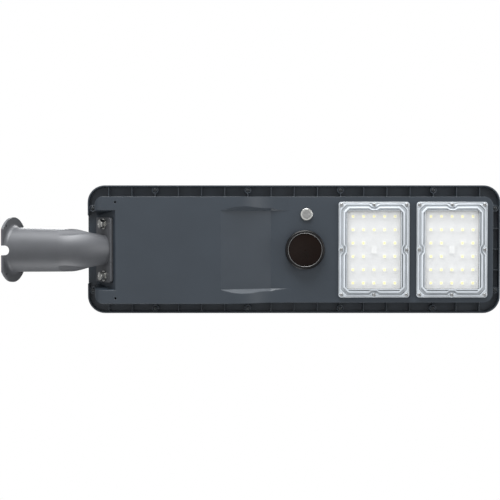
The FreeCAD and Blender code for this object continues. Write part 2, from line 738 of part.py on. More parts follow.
def make_lower_housing():
    """The die-cast shell: rim with lip and ribs, deep and shallow pan, and the recess for the arm."""
    body = new_body("lower_housing")
    middle = "head_length / 2"
    rim = sketch_on(body)
    rounded_rectangle(rim, middle, 0, "head_length", "head_width", "head_corner")
    grow(body, rim, "wall")
    pan = sketch_on(body)
    rounded_rectangle(pan, middle, 0, PAN_LENGTH, PAN_WIDTH, "pan_corner")
    grow(body, pan, "pan_depth", down=True)
    doc.recompute()

    # outside of the pan: shallow end with its swelling step, and the round arm end
    step = sketch_on(body, "XZ_Plane")
    swell = "((swell_length ^ 2 + (pan_depth - shallow_depth) ^ 2) / (4 * (pan_depth - shallow_depth)))"
    outline(step, [
        ("ramp_start", "-pan_depth", swell),
        ("ramp_start + swell_length / 2", "-(pan_depth + shallow_depth) / 2", f"-{swell}"),
        ("ramp_start + swell_length", "-shallow_depth"), (joined(PAN_END, 1), "-shallow_depth"),
        (joined(PAN_END, 1), "-pan_depth - 1"), ("ramp_start", "-pan_depth - 1"),
    ])
    sink(body, step, f"{PAN_WIDTH} + 2", both=True)
    round_end = sketch_on(body, "XZ_Plane")
    outline(round_end, [
        ("rim_end", "-pan_depth + pan_end_round", "pan_end_round"),
        ("rim_end + pan_end_round", "-pan_depth"), ("rim_end + pan_end_round", "-pan_depth - 1"),
        ("rim_end - 1", "-pan_depth - 1"), ("rim_end - 1", "-pan_depth + pan_end_round"),
    ])
    sink(body, round_end, f"{PAN_WIDTH} + 2", both=True)

    # the flat ramp, sunk between the two swelling strips with sloping sides
    slopes = []
    for along, level in (("ramp_start", "-pan_depth"), (RAMP_END, "-shallow_depth"),
                         ("ramp_start + swell_length + 1", "-shallow_depth")):
        slope = sketch_on(body, "YZ_Plane", height=along)
        outline(slope, [
            ("-ramp_width / 2", level), ("-ramp_width / 2 - pan_depth", f"{level} - pan_depth"),
            ("ramp_width / 2 + pan_depth", f"{level} - pan_depth"), ("ramp_width / 2", level),
        ])
        slopes.append(slope)
    skin(body, "SubtractiveLoft", slopes, ruled=True)
    doc.recompute()

    # rim: lip, ribs from lip to pan, and screw bosses
    lip = sketch_on(body)
    rounded_rectangle(lip, middle, 0, "head_length", "head_width", "head_corner")
    rounded_rectangle(lip, middle, 0, "head_length - 2 * lip_wall", "head_width - 2 * lip_wall",
                      "head_corner - lip_wall")
    grow(body, lip, "lip_height", down=True)
    rib = sketch_on(body)
    rectangle(rib, "rib_first", f"({PAN_SIDE} + head_width / 2 - lip_wall) / 2", "rib_thickness",
              f"head_width / 2 - {PAN_SIDE}")
    first_rib = grow(body, rib, "rib_height", down=True)
    repeat(body, first_rib, "H_Axis", "rib_pitch", "rib_count")
    doc.recompute()
    other_rib = sketch_on(body)
    rectangle(other_rib, "rib_first", f"-({PAN_SIDE} + head_width / 2 - lip_wall) / 2", "rib_thickness",
              f"head_width / 2 - {PAN_SIDE}")
    repeat(body, grow(body, other_rib, "rib_height", down=True), "H_Axis", "rib_pitch", "rib_count")
    end_rib = sketch_on(body)
    rectangle(end_rib, f"({PAN_END} + head_length - lip_wall) / 2", "-end_rib_pitch",
              f"head_length - {PAN_END}", "rib_thickness")
    repeat(body, grow(body, end_rib, "rib_height", down=True), "V_Axis", "end_rib_pitch", 3)
    bosses = sketch_on(body)
    for x, y in FRAME_SCREWS:
        circle(bosses, x, y, "boss_radius")
    grow(body, bosses, "rib_height", down=True)
    doc.recompute()

    # recess for the arm: a funnel run out through the arm end from the inclined seat
    mouth = []
    for shift in (0, "seat_along + pan_depth"):
        face = sketch_on(body, along=minus("seat_along", shift), height="-seat_below", turn="90 - neck_rise")
        top = f"-seat_below / {RISE_COS}"
        bottom = f"(pan_depth + 1 - seat_below) / {RISE_COS}"
        outline(face, [
            (top, "-recess_top_width / 2"), (bottom, "-recess_mouth_width / 2"),
            (bottom, "recess_mouth_width / 2"), (top, "recess_top_width / 2"),
        ])
        mouth.append(face)
    skin(body, "SubtractiveLoft", mouth, ruled=True)
    doc.recompute()

    # inside: shallow hall, deep battery well, the ramp between them, and the wedge behind the seat
    hall = sketch_on(body, height="wall")
    inside_corner = "pan_corner - wall"
    rounded_rectangle(hall, f"(cavity_start + {PAN_END} - wall) / 2", 0,
                      f"{PAN_END} - wall - cavity_start", f"{PAN_WIDTH} - 2 * wall", inside_corner)
    sink(body, hall, "shallow_depth")
    well = sketch_on(body, height="wall")
    rounded_rectangle(well, "(cavity_start + ramp_start - wall / 2) / 2", 0,
                      "ramp_start - wall / 2 - cavity_start", f"{PAN_WIDTH} - 2 * wall", "wall")
    sink(body, well, "pan_depth")
    under_ramp = sketch_on(body, "XZ_Plane")
    outline(under_ramp, [
        ("ramp_start - 4 * wall", DEEP_FLOOR), ("ramp_start - wall / 2", DEEP_FLOOR),
        (f"{RAMP_END} - wall / 2", FLOOR), (f"{RAMP_END} - wall / 2", "0"), ("ramp_start - 4 * wall", "0"),
    ])
    sink(body, under_ramp, f"{PAN_WIDTH} - 2 * wall", both=True)
    wedge = sketch_on(body, "XZ_Plane")
    behind = f"(seat_along + seat_wall / {RISE_COS})"
    outline(wedge, [
        (f"{behind} - (seat_below + wall) * {RISE_TAN}", "wall"),
        (f"{behind} + (pan_depth - wall - seat_below) * {RISE_TAN}", DEEP_FLOOR),
        ("cavity_start + 4 * wall", DEEP_FLOOR), ("cavity_start + 4 * wall", "wall"),
    ])
    sink(body, wedge, "recess_mouth_width + 2 * wall", both=True)
    cores = sketch_on(body, height="wall")
    core_inner = "(recess_mouth_width / 2 + core_wall)"
    core_outer = f"({PAN_SIDE} - core_wall)"
    for side in (-1, 1):
        rounded_rectangle(cores, "(rim_end + 2 * wall + cavity_start + wall) / 2",
                          f"{side} * ({core_inner} + {core_outer}) / 2",
                          "cavity_start - rim_end - wall", f"{core_outer} - {core_inner}",
                          f"({core_outer} - {core_inner}) * core_roundness")
    sink(body, cores, "corner_core_depth + wall")

    # posts inside, for the lens screws, the battery straps and the controller
    posts = sketch_on(body, height=FLOOR)
    for centre in MODULES.values():
        for x, y in module_screws(centre):
            circle(posts, x, y, "lens_boss_radius")
    grow(body, posts, "lens_screw_grip")
    standoffs = sketch_on(body, height=FLOOR)
    for x, y in CONTROLLER_HOLES:
        circle(standoffs, x, y, "standoff_radius")
    grow(body, standoffs, "controller_lift")
    strap_posts = sketch_on(body, height=DEEP_FLOOR)
    for x, y in STRAP_POSTS:
        circle(strap_posts, x, y, "strap_post_radius")
    grow(body, strap_posts, minus(STRAP_LEVEL, DEEP_FLOOR))
    doc.recompute()

    # holes
    holes = sketch_on(body, height="wall")
    for x, y in FRAME_SCREWS:
        circle(holes, x, y, "frame_screw_radius + screw_gap")
    sink(body, holes, "wall + rib_height")
    seats = sketch_on(body, height="-rib_height")
    for x, y in FRAME_SCREWS:
        circle(seats, x, y, "frame_screw_head_radius + screw_gap")
    sink(body, seats, "frame_screw_head_height", up=True)
    floor_holes = sketch_on(body, height=FLOOR)
    circle(floor_holes, "sensor_along", 0, "sensor_stem_radius + touch_gap")
    circle(floor_holes, "switch_along", "switch_across", "switch_barrel_radius + touch_gap")
    for centre in MODULES.values():
        circle(floor_holes, centre, 0, "wire_hole_radius")
    sink(body, floor_holes, "wall")
    lens_holes = sketch_on(body, height="-shallow_depth")
    for centre in MODULES.values():
        for x, y in module_screws(centre):
            circle(lens_holes, x, y, "lens_screw_radius")
    sink(body, lens_holes, "lens_screw_grip + wall", up=True)
    board_holes = sketch_on(body, height=f"{FLOOR} + controller_lift")
    for x, y in CONTROLLER_HOLES:
        circle(board_holes, x, y, "board_screw_radius")
    sink(body, board_holes, "board_screw_length - board_thickness")
    strap_holes = sketch_on(body, height=STRAP_LEVEL)
    for x, y in STRAP_POSTS:
        circle(strap_holes, x, y, "strap_screw_radius")
    sink(body, strap_holes, "strap_screw_length - strap_thickness")
    drains = sketch_on(body, height="-pan_depth")
    for side in (-1, 1):
        circle(drains, "drain_along", f"{side} * drain_spread / 2", "drain_radius")
    sink(body, drains, "pan_depth - corner_core_depth", up=True)
    seat_holes = sketch_on(body, along="seat_along", height="-seat_below", turn="90 - neck_rise")
    for across in BOLT_SIDES:
        circle(seat_holes, "arm_bolt_below", across, "arm_bolt_radius + screw_gap")
    sink(body, seat_holes, "seat_wall", up=True)
    return keep(body, HEAD_PLACE)


# ---------------------------------------------------------------------------------------------------
# Head: words for pieces drawn flat in the head's frame
# ---------------------------------------------------------------------------------------------------
def make_slab(label, x, y, start, length, width, thickness, corner=None, holes=(), hole_radius=None):
    """A flat piece about (x, y), from the height start upwards, with round holes."""
    body = new_body(label)
    flat = sketch_on(body, height=start)
    if corner is None:
        rectangle(flat, x, y, length, width)
    else:
        rounded_rectangle(flat, x, y, length, width, corner)
    for place in holes:
        circle(flat, *place, hole_radius)
    grow(body, flat, thickness)
    return keep(body, HEAD_PLACE)


def make_ring_slab(label, x, y, start, length, width, corner, band, thickness, holes=(), hole_radius=None):
    """A flat frame of even band, such as a gasket, from the height start upwards."""
    body = new_body(label)
    flat = sketch_on(body, height=start)
    rounded_rectangle(flat, x, y, length, width, corner)
    rounded_rectangle(flat, x, y, f"({length}) - 2 * ({band})", f"({width}) - 2 * ({band})",
                      f"({corner}) * inner_corner_share")
    for place in holes:
        circle(flat, *place, hole_radius)
    grow(body, flat, thickness)
    return keep(body, HEAD_PLACE)


def make_blocks(label, places, start, length, width, thickness):
    """Equal rectangular pieces at (x, y) places."""
    body = new_body(label)
    flat = sketch_on(body, height=start)
    for x, y in places:
        rectangle(flat, x, y, length, width)
    grow(body, flat, thickness)
    return keep(body, HEAD_PLACE)


def make_screws(label, places, seat, name, length, from_above=False):
    """Socket-head screws, heads outside the height seat; name gives their sizes in the sheet."""
    body = new_body(label)
    heads = sketch_on(body, height=seat)
    shanks = sketch_on(body, height=seat)
    side = 1 if from_above else -1
    sockets = sketch_on(body, height=f"({seat}) + {side} * {name}_head_height")
    for x, y in places:
        circle(heads, x, y, f"{name}_head_radius")
        circle(shanks, x, y, f"{name}_radius")
        hexagon(sockets, x, y, f"{name}_head_radius * socket_share")
    grow(body, heads, f"{name}_head_height", down=not from_above)
    grow(body, shanks, length, down=from_above)
    doc.recompute()
    sink(body, sockets, f"{name}_head_height * socket_depth_share", up=not from_above)
    return keep(body, HEAD_PLACE)


def make_turned(label, x, y, points):
    """Pieces turned about an upright axis at (x, y), from an outline of (radius, height) points."""
    body = new_body(label)
    sketch = sketch_on(body, "XZ_Plane", along=x, height=f"-({y})")
    outline(sketch, points)
    turned = body.newObject("PartDesign::Revolution", f"{label}_revolution")
    turned.Profile = sketch
    turned.ReferenceAxis = (sketch, ["V_Axis"])
    turned.Angle = 360
    return keep(body, HEAD_PLACE)


def make_tube(x, y, label, inner, outer, start, thickness):
    """A plain ring about (x, y)."""
    body = new_body(label)
    flat = sketch_on(body, height=start)
    circle(flat, x, y, outer)
    circle(flat, x, y, inner)
    grow(body, flat, thickness)
    return keep(body, HEAD_PLACE)


# ---------------------------------------------------------------------------------------------------
# Panel and its frame, on top of the shell
# ---------------------------------------------------------------------------------------------------
GLASS_LENGTH = "(head_length - 2 * frame_land - 2 * glass_gap)"
GLASS_WIDTH = "(head_width - 2 * frame_land - 2 * glass_gap)"
GLASS_CORNER = "(head_corner - frame_land - glass_gap)"
PANEL_LEVEL = "(wall + panel_seat)"
MIDDLE = "head_length / 2"


def make_panel_frame():
    """The frame that holds the panel and closes the shell, with a groove for its gasket."""
    body = new_body("panel_frame")
    ring = sketch_on(body, height="wall + bond_line")
    rounded_rectangle(ring, MIDDLE, 0, "head_length", "head_width", "head_corner")
    land = "(frame_land + panel_ledge)"
    rounded_rectangle(ring, MIDDLE, 0, f"head_length - 2 * {land}", f"head_width - 2 * {land}",
                      f"head_corner - {land}")
    grow(body, ring, "frame_height - bond_line")
    doc.recompute()
    rebate = sketch_on(body, height="wall + frame_height")
    rounded_rectangle(rebate, MIDDLE, 0, "head_length - 2 * frame_land", "head_width - 2 * frame_land",
                      "head_corner - frame_land")
    sink(body, rebate, "frame_height - panel_seat")
    groove = sketch_on(body, height="wall")
    for extra in ("-touch_gap", "frame_gasket_width + touch_gap"):
        rounded_rectangle(groove, MIDDLE, 0, f"head_length - 2 * (frame_gasket_inset + {extra})",
                          f"head_width - 2 * (frame_gasket_inset + {extra})", "head_corner / 2")
    sink(body, groove, "frame_gasket_thickness", up=True)
    holes = sketch_on(body, height="wall")
    for x, y in FRAME_SCREWS:
        circle(holes, x, y, "frame_screw_radius")
    sink(body, holes, "frame_screw_length - wall - rib_height + frame_screw_head_height", up=True)
    return keep(body, HEAD_PLACE)


def make_solar_cells():
    """Mono-crystalline cells, laid edge to edge under the glass."""
    body = new_body("solar_cells")
    along = f"(({GLASS_LENGTH} - 2 * cell_margin) / cell_columns)"
    across = f"(({GLASS_WIDTH} - 2 * cell_margin) / cell_rows)"
    cell = sketch_on(body, height=f"{PANEL_LEVEL} + backsheet_thickness + bond_line")
    rectangle(cell, f"{MIDDLE} - {GLASS_LENGTH} / 2 + cell_margin + {along} / 2",
              f"-{across} * (cell_rows - 1) / 2", f"{along} - cell_gap", f"{across} - cell_gap")
    first = grow(body, cell, "cell_thickness - 2 * bond_line")
    repeat(body, first, "H_Axis", along, "cell_columns", (across, "cell_rows"))
    return keep(body, HEAD_PLACE)


def make_panel():
    make_panel_frame()
    make_ring_slab("frame_gasket", MIDDLE, 0, "wall + bond_line", "head_length - 2 * frame_gasket_inset",
                   "head_width - 2 * frame_gasket_inset", "head_corner / 2", "frame_gasket_width",
                   "frame_gasket_thickness - touch_gap")
    make_screws("frame_screws", FRAME_SCREWS, "-rib_height + frame_screw_head_height", "frame_screw",
                "frame_screw_length")
    make_slab("panel_backsheet", MIDDLE, 0, f"{PANEL_LEVEL} + bond_line", GLASS_LENGTH, GLASS_WIDTH,
              "backsheet_thickness - bond_line", GLASS_CORNER)
    make_solar_cells()
    make_slab("panel_glass", MIDDLE, 0, f"{PANEL_LEVEL} + backsheet_thickness + cell_thickness",
              GLASS_LENGTH, GLASS_WIDTH, "glass_thickness", GLASS_CORNER)
    make_slab("panel_junction_box", "junction_box_along", 0, f"{PANEL_LEVEL} - junction_box_height",
              "junction_box_length", "junction_box_width", "junction_box_height", "wall")


# ---------------------------------------------------------------------------------------------------
# Battery, in the deep well
# ---------------------------------------------------------------------------------------------------
CELL_PITCH = "(2 * cell_radius + cell_space)"
CELL_MIDDLE = "((cavity_start + ramp_start - wall) / 2)"
CELL_PLACES = [f"{CELL_MIDDLE} + ({number} - 1.5) * {CELL_PITCH}" for number in range(4)]
CELL_START = "(2 * touch_gap + cell_pole_height + nickel_thickness + cell_back_gap)"
CELL_END = f"({CELL_START} + cell_length)"


def make_cells():
    """Eight cells across the lamp in two rows, each with its raised pole outwards."""
    body = new_body("battery_cells")
    cans = sketch_on(body, "XZ_Plane", height=CELL_START)
    poles = sketch_on(body, "XZ_Plane", height=CELL_END)
    for x in CELL_PLACES:
        circle(cans, x, CELL_LEVEL, "cell_radius")
        circle(poles, x, CELL_LEVEL, "cell_pole_radius")
    can_row = grow(body, cans, "cell_length")
    pole_row = grow(body, poles, "cell_pole_height")
    doc.recompute()
    mirror(body, [can_row, pole_row])
    return keep(body, HEAD_PLACE)


def make_holder(label, start):
    """Moulded combs that the cells push into, one on each side of the middle."""
    body = new_body(label)
    comb = sketch_on(body, "XZ_Plane", height=start)
    rectangle(comb, CELL_MIDDLE, CELL_LEVEL, f"4 * {CELL_PITCH} + 2 * holder_rim - cell_space / 2",
              "2 * cell_radius + 2 * holder_rim")
    for x in CELL_PLACES:
        circle(comb, x, CELL_LEVEL, "cell_radius + touch_gap")
    side = grow(body, comb, "holder_thickness")
    doc.recompute()
    mirror(body, [side])
    return keep(body, HEAD_PLACE)


def make_nickel_strips():
    """Strips that join the cells' raised poles."""
    body = new_body("nickel_strips")
    strip = sketch_on(body, "XZ_Plane", height=f"{CELL_END} + cell_pole_height")
    for pair in (0, 2):
        rectangle(strip, f"{CELL_MIDDLE} + ({pair} - 1) * {CELL_PITCH}", CELL_LEVEL,
                  f"{CELL_PITCH} + nickel_width", "nickel_width")
    side = grow(body, strip, "nickel_thickness")
    doc.recompute()
    mirror(body, [side])
    return keep(body, HEAD_PLACE)


def make_battery():
    make_cells()
    make_holder("cell_holder_inner", f"{CELL_START} + wall")
    make_holder("cell_holder_outer", f"{CELL_END} - wall - holder_thickness")
    make_nickel_strips()
    ends = [place[0] for place in STRAP_POSTS if place[1].startswith("-1")]
    middle = f"({ends[0]} + {ends[1]}) / 2"
    body = new_body("battery_straps")
    bars = sketch_on(body, height=STRAP_LEVEL)
    for side in (-1, 1):
        rectangle(bars, middle, f"{side} * strap_spread", f"{ends[1]} - {ends[0]} + 2 * strap_post_radius",
                  "strap_width")
    for x, y in STRAP_POSTS:
        circle(bars, x, y, "strap_screw_radius + screw_gap / 2")
    grow(body, bars, "strap_thickness")
    keep(body, HEAD_PLACE)
    make_screws("strap_screws", STRAP_POSTS, f"{STRAP_LEVEL} + strap_thickness", "strap_screw",
                "strap_screw_length", from_above=True)
    make_slab("battery_guard_board", CELL_MIDDLE, 0, STRAP_LEVEL, "guard_board_length",
              "guard_board_width", "board_thickness")


# ---------------------------------------------------------------------------------------------------
# Charge controller, on standoffs in the shallow hall
# ---------------------------------------------------------------------------------------------------
BOARD_TOP = f"({FLOOR} + controller_lift + board_thickness)"


def make_heat_sink():
    """A finned block behind the power transistors."""
    body = new_body("heat_sink")
    x = "(module_inner + heat_sink_along)"
    y = "(-controller_width / 2 + heat_sink_width / 2 + heat_sink_inset)"
    base = sketch_on(body, height=BOARD_TOP)
    rectangle(base, x, y, "heat_sink_length", "heat_sink_width")
    grow(body, base, "heat_sink_base")
    fin = sketch_on(body, height=f"{BOARD_TOP} + heat_sink_base")
    rectangle(fin, x, f"{y} - heat_sink_width / 2 + fin_thickness / 2", "heat_sink_length", "fin_thickness")
    repeat(body, grow(body, fin, "heat_sink_height - heat_sink_base"), "V_Axis",
           "(heat_sink_width - fin_thickness) / (fin_count - 1)", "fin_count")
    return keep(body, HEAD_PLACE)


def make_terminal_block():
    """A row of screw terminals with a wire hole in front of each."""
    body = new_body("terminal_block")
    y = "(controller_width / 2 - terminal_width / 2 - terminal_inset)"
    block = sketch_on(body, height=BOARD_TOP)
    rectangle(block, "module_inner", y, "terminal_length", "terminal_width")
    grow(body, block, "terminal_height")
    doc.recompute()
    pitch = "(terminal_length / terminal_count)"
    wells = sketch_on(body, height=f"{BOARD_TOP} + terminal_height")
    for number in range(int(value("terminal_count"))):
        circle(wells, f"module_inner - terminal_length / 2 + {pitch} * ({number} + 0.5)", y,
               "terminal_hole_radius")
    sink(body, wells, "terminal_hole_depth")
    return keep(body, HEAD_PLACE)


def make_controller():
    make_slab("controller_board", "module_inner", 0, f"{FLOOR} + controller_lift", "controller_length",
              "controller_width", "board_thickness", "wall", CONTROLLER_HOLES,
              "board_screw_radius + screw_gap / 2")
    make_screws("controller_screws", CONTROLLER_HOLES, BOARD_TOP, "board_screw", "board_screw_length",
                from_above=True)
    body = new_body("capacitors")
    cans = sketch_on(body, height=BOARD_TOP)
    for number in range(int(value("capacitor_count"))):
        circle(cans, "module_inner - controller_length / 2 + capacitor_inset",
               f"capacitor_first + {number} * capacitor_pitch", "capacitor_radius")
    grow(body, cans, "capacitor_height")
    keep(body, HEAD_PLACE)
    coil_top = f"({BOARD_TOP} + coil_height)"
    make_turned("choke_coil", "module_inner + coil_along", "coil_across", [
        ("coil_bore_radius", BOARD_TOP), ("coil_radius", BOARD_TOP),
        ("coil_radius", coil_top), ("coil_bore_radius", coil_top),
    ])
    make_heat_sink()
    make_terminal_block()
    chips = [(f"module_inner + chip_along + {number} * chip_step_along",
              f"chip_across + {number} * chip_step_across") for number in range(2)]
    make_blocks("controller_chips", chips, BOARD_TOP, "chip_length", "chip_width", "chip_height")


# ---------------------------------------------------------------------------------------------------
# LED modules, on the outside of the shallow floor
# ---------------------------------------------------------------------------------------------------
LENS_HOLLOW_LENGTH = "(module_length - 2 * lens_border)"
LENS_HOLLOW_WIDTH = "(module_width - 2 * lens_border)"
LED_BOARD_LENGTH = f"({LENS_HOLLOW_LENGTH} - 2 * led_board_room)"
LED_BOARD_WIDTH = f"({LENS_HOLLOW_WIDTH} - 2 * led_board_room)"
LED_PITCH_ALONG = f"(({LED_BOARD_LENGTH} - 2 * led_border) / 4)"
LED_PITCH_ACROSS = f"(({LED_BOARD_WIDTH} - 2 * led_border) / 5)"
LED_PLACES = [(along, across) for along in range(-2, 3) for across in (-2.5, -1.5, -0.5, 0.5, 1.5, 2.5)
              if (along, abs(across)) != (0, 0.5)]
OUTSIDE = "(-shallow_depth)"
LENS_LEVEL = f"({OUTSIDE} - lens_gasket_thickness)"


def make_lens_cover(name, centre):
    """A clear cover: screwed flange, raised window and a hollow for the LEDs."""
    body = new_body(f"{name}_lens_cover")
    flange = sketch_on(body, height=LENS_LEVEL)
    rounded_rectangle(flange, centre, 0, "module_length", "module_width", "module_corner")
    grow(body, flange, "lens_flange_height", down=True)
    window = sketch_on(body, height=LENS_LEVEL)
    rounded_rectangle(window, centre, 0, f"{LENS_HOLLOW_LENGTH} + 2 * lens_window_wall",
                      f"{LENS_HOLLOW_WIDTH} + 2 * lens_window_wall", "window_corner")
    grow(body, window, "lens_height", down=True)
    doc.recompute()
    hollow = sketch_on(body, height=LENS_LEVEL)
    rounded_rectangle(hollow, centre, 0, LENS_HOLLOW_LENGTH, LENS_HOLLOW_WIDTH, "hollow_corner")
    sink(body, hollow, "lens_height - lens_window_wall")
    holes = sketch_on(body, height=LENS_LEVEL)
    for x, y in module_screws(centre):
        circle(holes, x, y, "lens_screw_radius + screw_gap")
    sink(body, holes, "lens_flange_height")
    return keep(body, HEAD_PLACE)


def make_led_module(name, centre):
    """One lit module: board with its chips and plug, under the lens cover and its gasket."""
    make_slab(f"{name}_led_board", centre, 0, f"{OUTSIDE} - board_thickness", LED_BOARD_LENGTH,
              LED_BOARD_WIDTH, "board_thickness - bond_line", "led_board_corner")
    places = [(f"{centre} + {along} * {LED_PITCH_ALONG}", f"{across} * {LED_PITCH_ACROSS}")
              for along, across in LED_PLACES]
    make_blocks(f"{name}_led_chips", places, f"{OUTSIDE} - board_thickness - led_height", "led_size",
                "led_size", "led_height")
    make_slab(f"{name}_led_plug", centre, 0, f"{OUTSIDE} - board_thickness - led_plug_height",
              "led_plug_width", "led_plug_length", "led_plug_height")
    body = new_body(f"{name}_lens_gasket")
    flat = sketch_on(body, height=f"{OUTSIDE} - bond_line")
    rounded_rectangle(flat, centre, 0, "module_length - 2 * lens_gasket_inset",
                      "module_width - 2 * lens_gasket_inset", "module_corner")
    rounded_rectangle(flat, centre, 0, f"{LENS_HOLLOW_LENGTH} + 2 * lens_gasket_inset",
                      f"{LENS_HOLLOW_WIDTH} + 2 * lens_gasket_inset", "hollow_corner")
    for x, y in module_screws(centre):
        circle(flat, x, y, "lens_screw_radius + screw_gap")
    grow(body, flat, "lens_gasket_thickness - 2 * bond_line", down=True)
    keep(body, HEAD_PLACE)
    make_lens_cover(name, centre)
    make_screws(f"{name}_lens_screws", module_screws(centre), f"{LENS_LEVEL} - lens_flange_height",
                "lens_screw",
                "lens_flange_height + lens_gasket_thickness + wall + lens_screw_grip - screw_end_gap")


# ---------------------------------------------------------------------------------------------------
# Motion sensor
# ---------------------------------------------------------------------------------------------------
def make_sensor():
    under = f"({OUTSIDE} - sensor_gasket_thickness)"
    face = f"({under} - sensor_height)"
    ledge = f"({face} + sensor_disc_height)"
    make_turned("sensor_bezel", "sensor_along", "0", [
        ("sensor_stem_bore", ledge), ("sensor_disc_radius + touch_gap", ledge),
        ("sensor_disc_radius + touch_gap", face),
        ("sensor_radius - sensor_edge_round", face, "sensor_edge_round"),
        ("sensor_radius", f"{face} + sensor_edge_round"), ("sensor_radius", under),
        ("sensor_stem_radius", under), ("sensor_stem_radius", f"{under} + sensor_stem_length"),
        ("sensor_stem_bore", f"{under} + sensor_stem_length"),
    ])
    crown = "((sensor_disc_radius ^ 2 + sensor_disc_crown ^ 2) / (2 * sensor_disc_crown))"
    rim = f"({face} + sensor_disc_sink)"
    inside = f"({rim} + sensor_disc_wall)"
    make_turned("sensor_lens", "sensor_along", "0", [
        ("0", f"{rim} - sensor_disc_crown", crown), ("sensor_disc_radius", rim),
        ("sensor_disc_radius", ledge), ("sensor_disc_radius - wall", ledge),
        ("sensor_disc_radius - wall", inside), ("0", inside),
    ])
    make_tube("sensor_along", "0", "sensor_gasket", "sensor_stem_radius + touch_gap",
              "sensor_radius - sensor_gasket_inset", under, "sensor_gasket_thickness")
    body = new_body("sensor_nut")
    flat = sketch_on(body, height=FLOOR)
    hexagon(flat, "sensor_along", "0", "sensor_nut_radius")
    circle(flat, "sensor_along", "0", "sensor_stem_radius + touch_gap / 2")
    grow(body, flat, "sensor_nut_height")
    keep(body, HEAD_PLACE)
    make_tube("sensor_along", "0", "sensor_board", "sensor_board_hole", "sensor_stem_bore - touch_gap",
              f"{ledge} + sensor_board_gap", "board_thickness")
    make_blocks("sensor_detector", [("sensor_along", "0")], f"{ledge} + sensor_board_gap - sensor_can_height",
                "sensor_can_size", "sensor_can_size", "sensor_can_height")


# ---------------------------------------------------------------------------------------------------
# Push button
# ---------------------------------------------------------------------------------------------------
def make_switch():
    under = f"({OUTSIDE} - switch_seal_thickness)"
    face = f"({under} - switch_bezel_height)"
    place = ("switch_along", "switch_across")
    bore = "(button_radius + slide_gap)"
    bore_end = f"({face} + switch_bore_depth)"
    top = f"({under} + switch_length)"
    make_turned("switch_body", *place, [
        ("button_stem_radius + slide_gap", bore_end), (bore, bore_end), (bore, face),
        ("switch_bezel_radius - switch_edge_round", face, "switch_edge_round"),
        ("switch_bezel_radius", f"{face} + switch_edge_round"),
        ("switch_bezel_radius", under), ("switch_barrel_radius", under), ("switch_barrel_radius", top),
        ("button_stem_radius + slide_gap", top),
    ])
    cap_back = f"({face} - button_proud + button_length)"
    stem_end = f"({bore_end} + button_stem_spare)"
    crest = f"({face} - button_proud)"
    make_turned("switch_button", *place, [
        ("0", crest), ("button_radius - button_edge_round", crest, "button_edge_round"),
        ("button_radius", f"{crest} + button_edge_round"), ("button_radius", cap_back),
        ("button_stem_radius", cap_back), ("button_stem_radius", stem_end), ("0", stem_end),
    ])
    make_tube(*place, "switch_seal", "switch_barrel_radius + touch_gap",
              "switch_bezel_radius - switch_seal_inset", under, "switch_seal_thickness")
    body = new_body("switch_nut")
    flat = sketch_on(body, height=FLOOR)
    hexagon(flat, *place, "switch_nut_radius")
    circle(flat, *place, "switch_barrel_radius + touch_gap / 2")
    grow(body, flat, "switch_nut_height")
    keep(body, HEAD_PLACE)

    # a coil spring between the button's back and the end of its bore
    spring = new_body("switch_spring")
    room = f"({bore_end} - {cap_back})"
    wire = sketch_on(spring, "XZ_Plane", along="switch_along", height="-switch_across",
                     across=f"{cap_back} + spring_wire_radius + spring_end_gap")
    circle(wire, "spring_radius", 0, "spring_wire_radius")
    coil = spring.newObject("PartDesign::AdditiveHelix", "switch_spring_coil")
    coil.Profile = wire
    coil.ReferenceAxis = (wire, ["V_Axis"])
    coil.Mode = "height-turns-growth"
    coil.setExpression("Height", bound(f"{room} - 2 * (spring_wire_radius + spring_end_gap)"))
    coil.setExpression("Turns", bound("spring_turns"))
    keep(spring, HEAD_PLACE)

    pins = [(f"switch_along + {across} * terminal_pin_spread", "switch_across") for across in (-1, 1)]
    make_blocks("switch_terminals", pins, top, "terminal_pin_width / 2", "terminal_pin_width",
                "terminal_pin_length")


def make_all():
    make_bracket_arm()
    make_clamp_screws()
    make_joint_plate("arm_gasket", "end_plate_height - 1", "end_plate_width - 1",
                     "arm_gasket_thickness - 2 * bond_line", "bond_line")
    make_joint_plate("arm_backing_plate", "backing_plate_height", "backing_plate_width",
                     "backing_plate_thickness - bond_line", "arm_gasket_thickness + seat_wall + bond_line")
    make_joint_rings("arm_flat_washers", "arm_washer_radius", "arm_washer_thickness",
                     "-end_plate_thickness - arm_washer_thickness")
    make_joint_rings("arm_spring_washers", "spring_washer_radius", "spring_washer_thickness",
                     "-end_plate_thickness - arm_washer_thickness - spring_washer_thickness", split=True)
    make_arm_bolts()
    make_arm_nuts()
    make_lower_housing()
    make_panel()
    make_battery()
    make_controller()
    for name, centre in MODULES.items():
        make_led_module(name, centre)
    make_sensor()
    make_switch()


def check_and_write():
    """Stop at any feature that failed, then write one file for each sub-part."""
    doc.recompute()
    for item in doc.Objects:
        if "Invalid" in item.State or "Error" in item.State:
            raise RuntimeError(f"{item.Name} did not build: {item.State}")
    os.makedirs("parts", exist_ok=True)
    for piece in NODES:
        if piece.Shape.isNull() or not piece.Shape.isValid() or not piece.Shape.Solids:
            raise RuntimeError(f"{piece.Label} is not a sound solid")
    for piece in NODES:
        piece.Shape.exportStep(f"parts/{piece.Label}.step")
        print(f"{piece.Label}: {len(piece.Shape.Solids)} solid(s), {piece.Shape.Volume / 1000:.2f} cm3")


make_all()
check_and_write()
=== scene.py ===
"""Finishes, small fittings and studio for a solar street lamp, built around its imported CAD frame."""

import json
import math

import bmesh
import bpy
import numpy as np
from bpy.props import FloatProperty, FloatVectorProperty, IntProperty, PointerProperty
from mathutils import Matrix, Vector


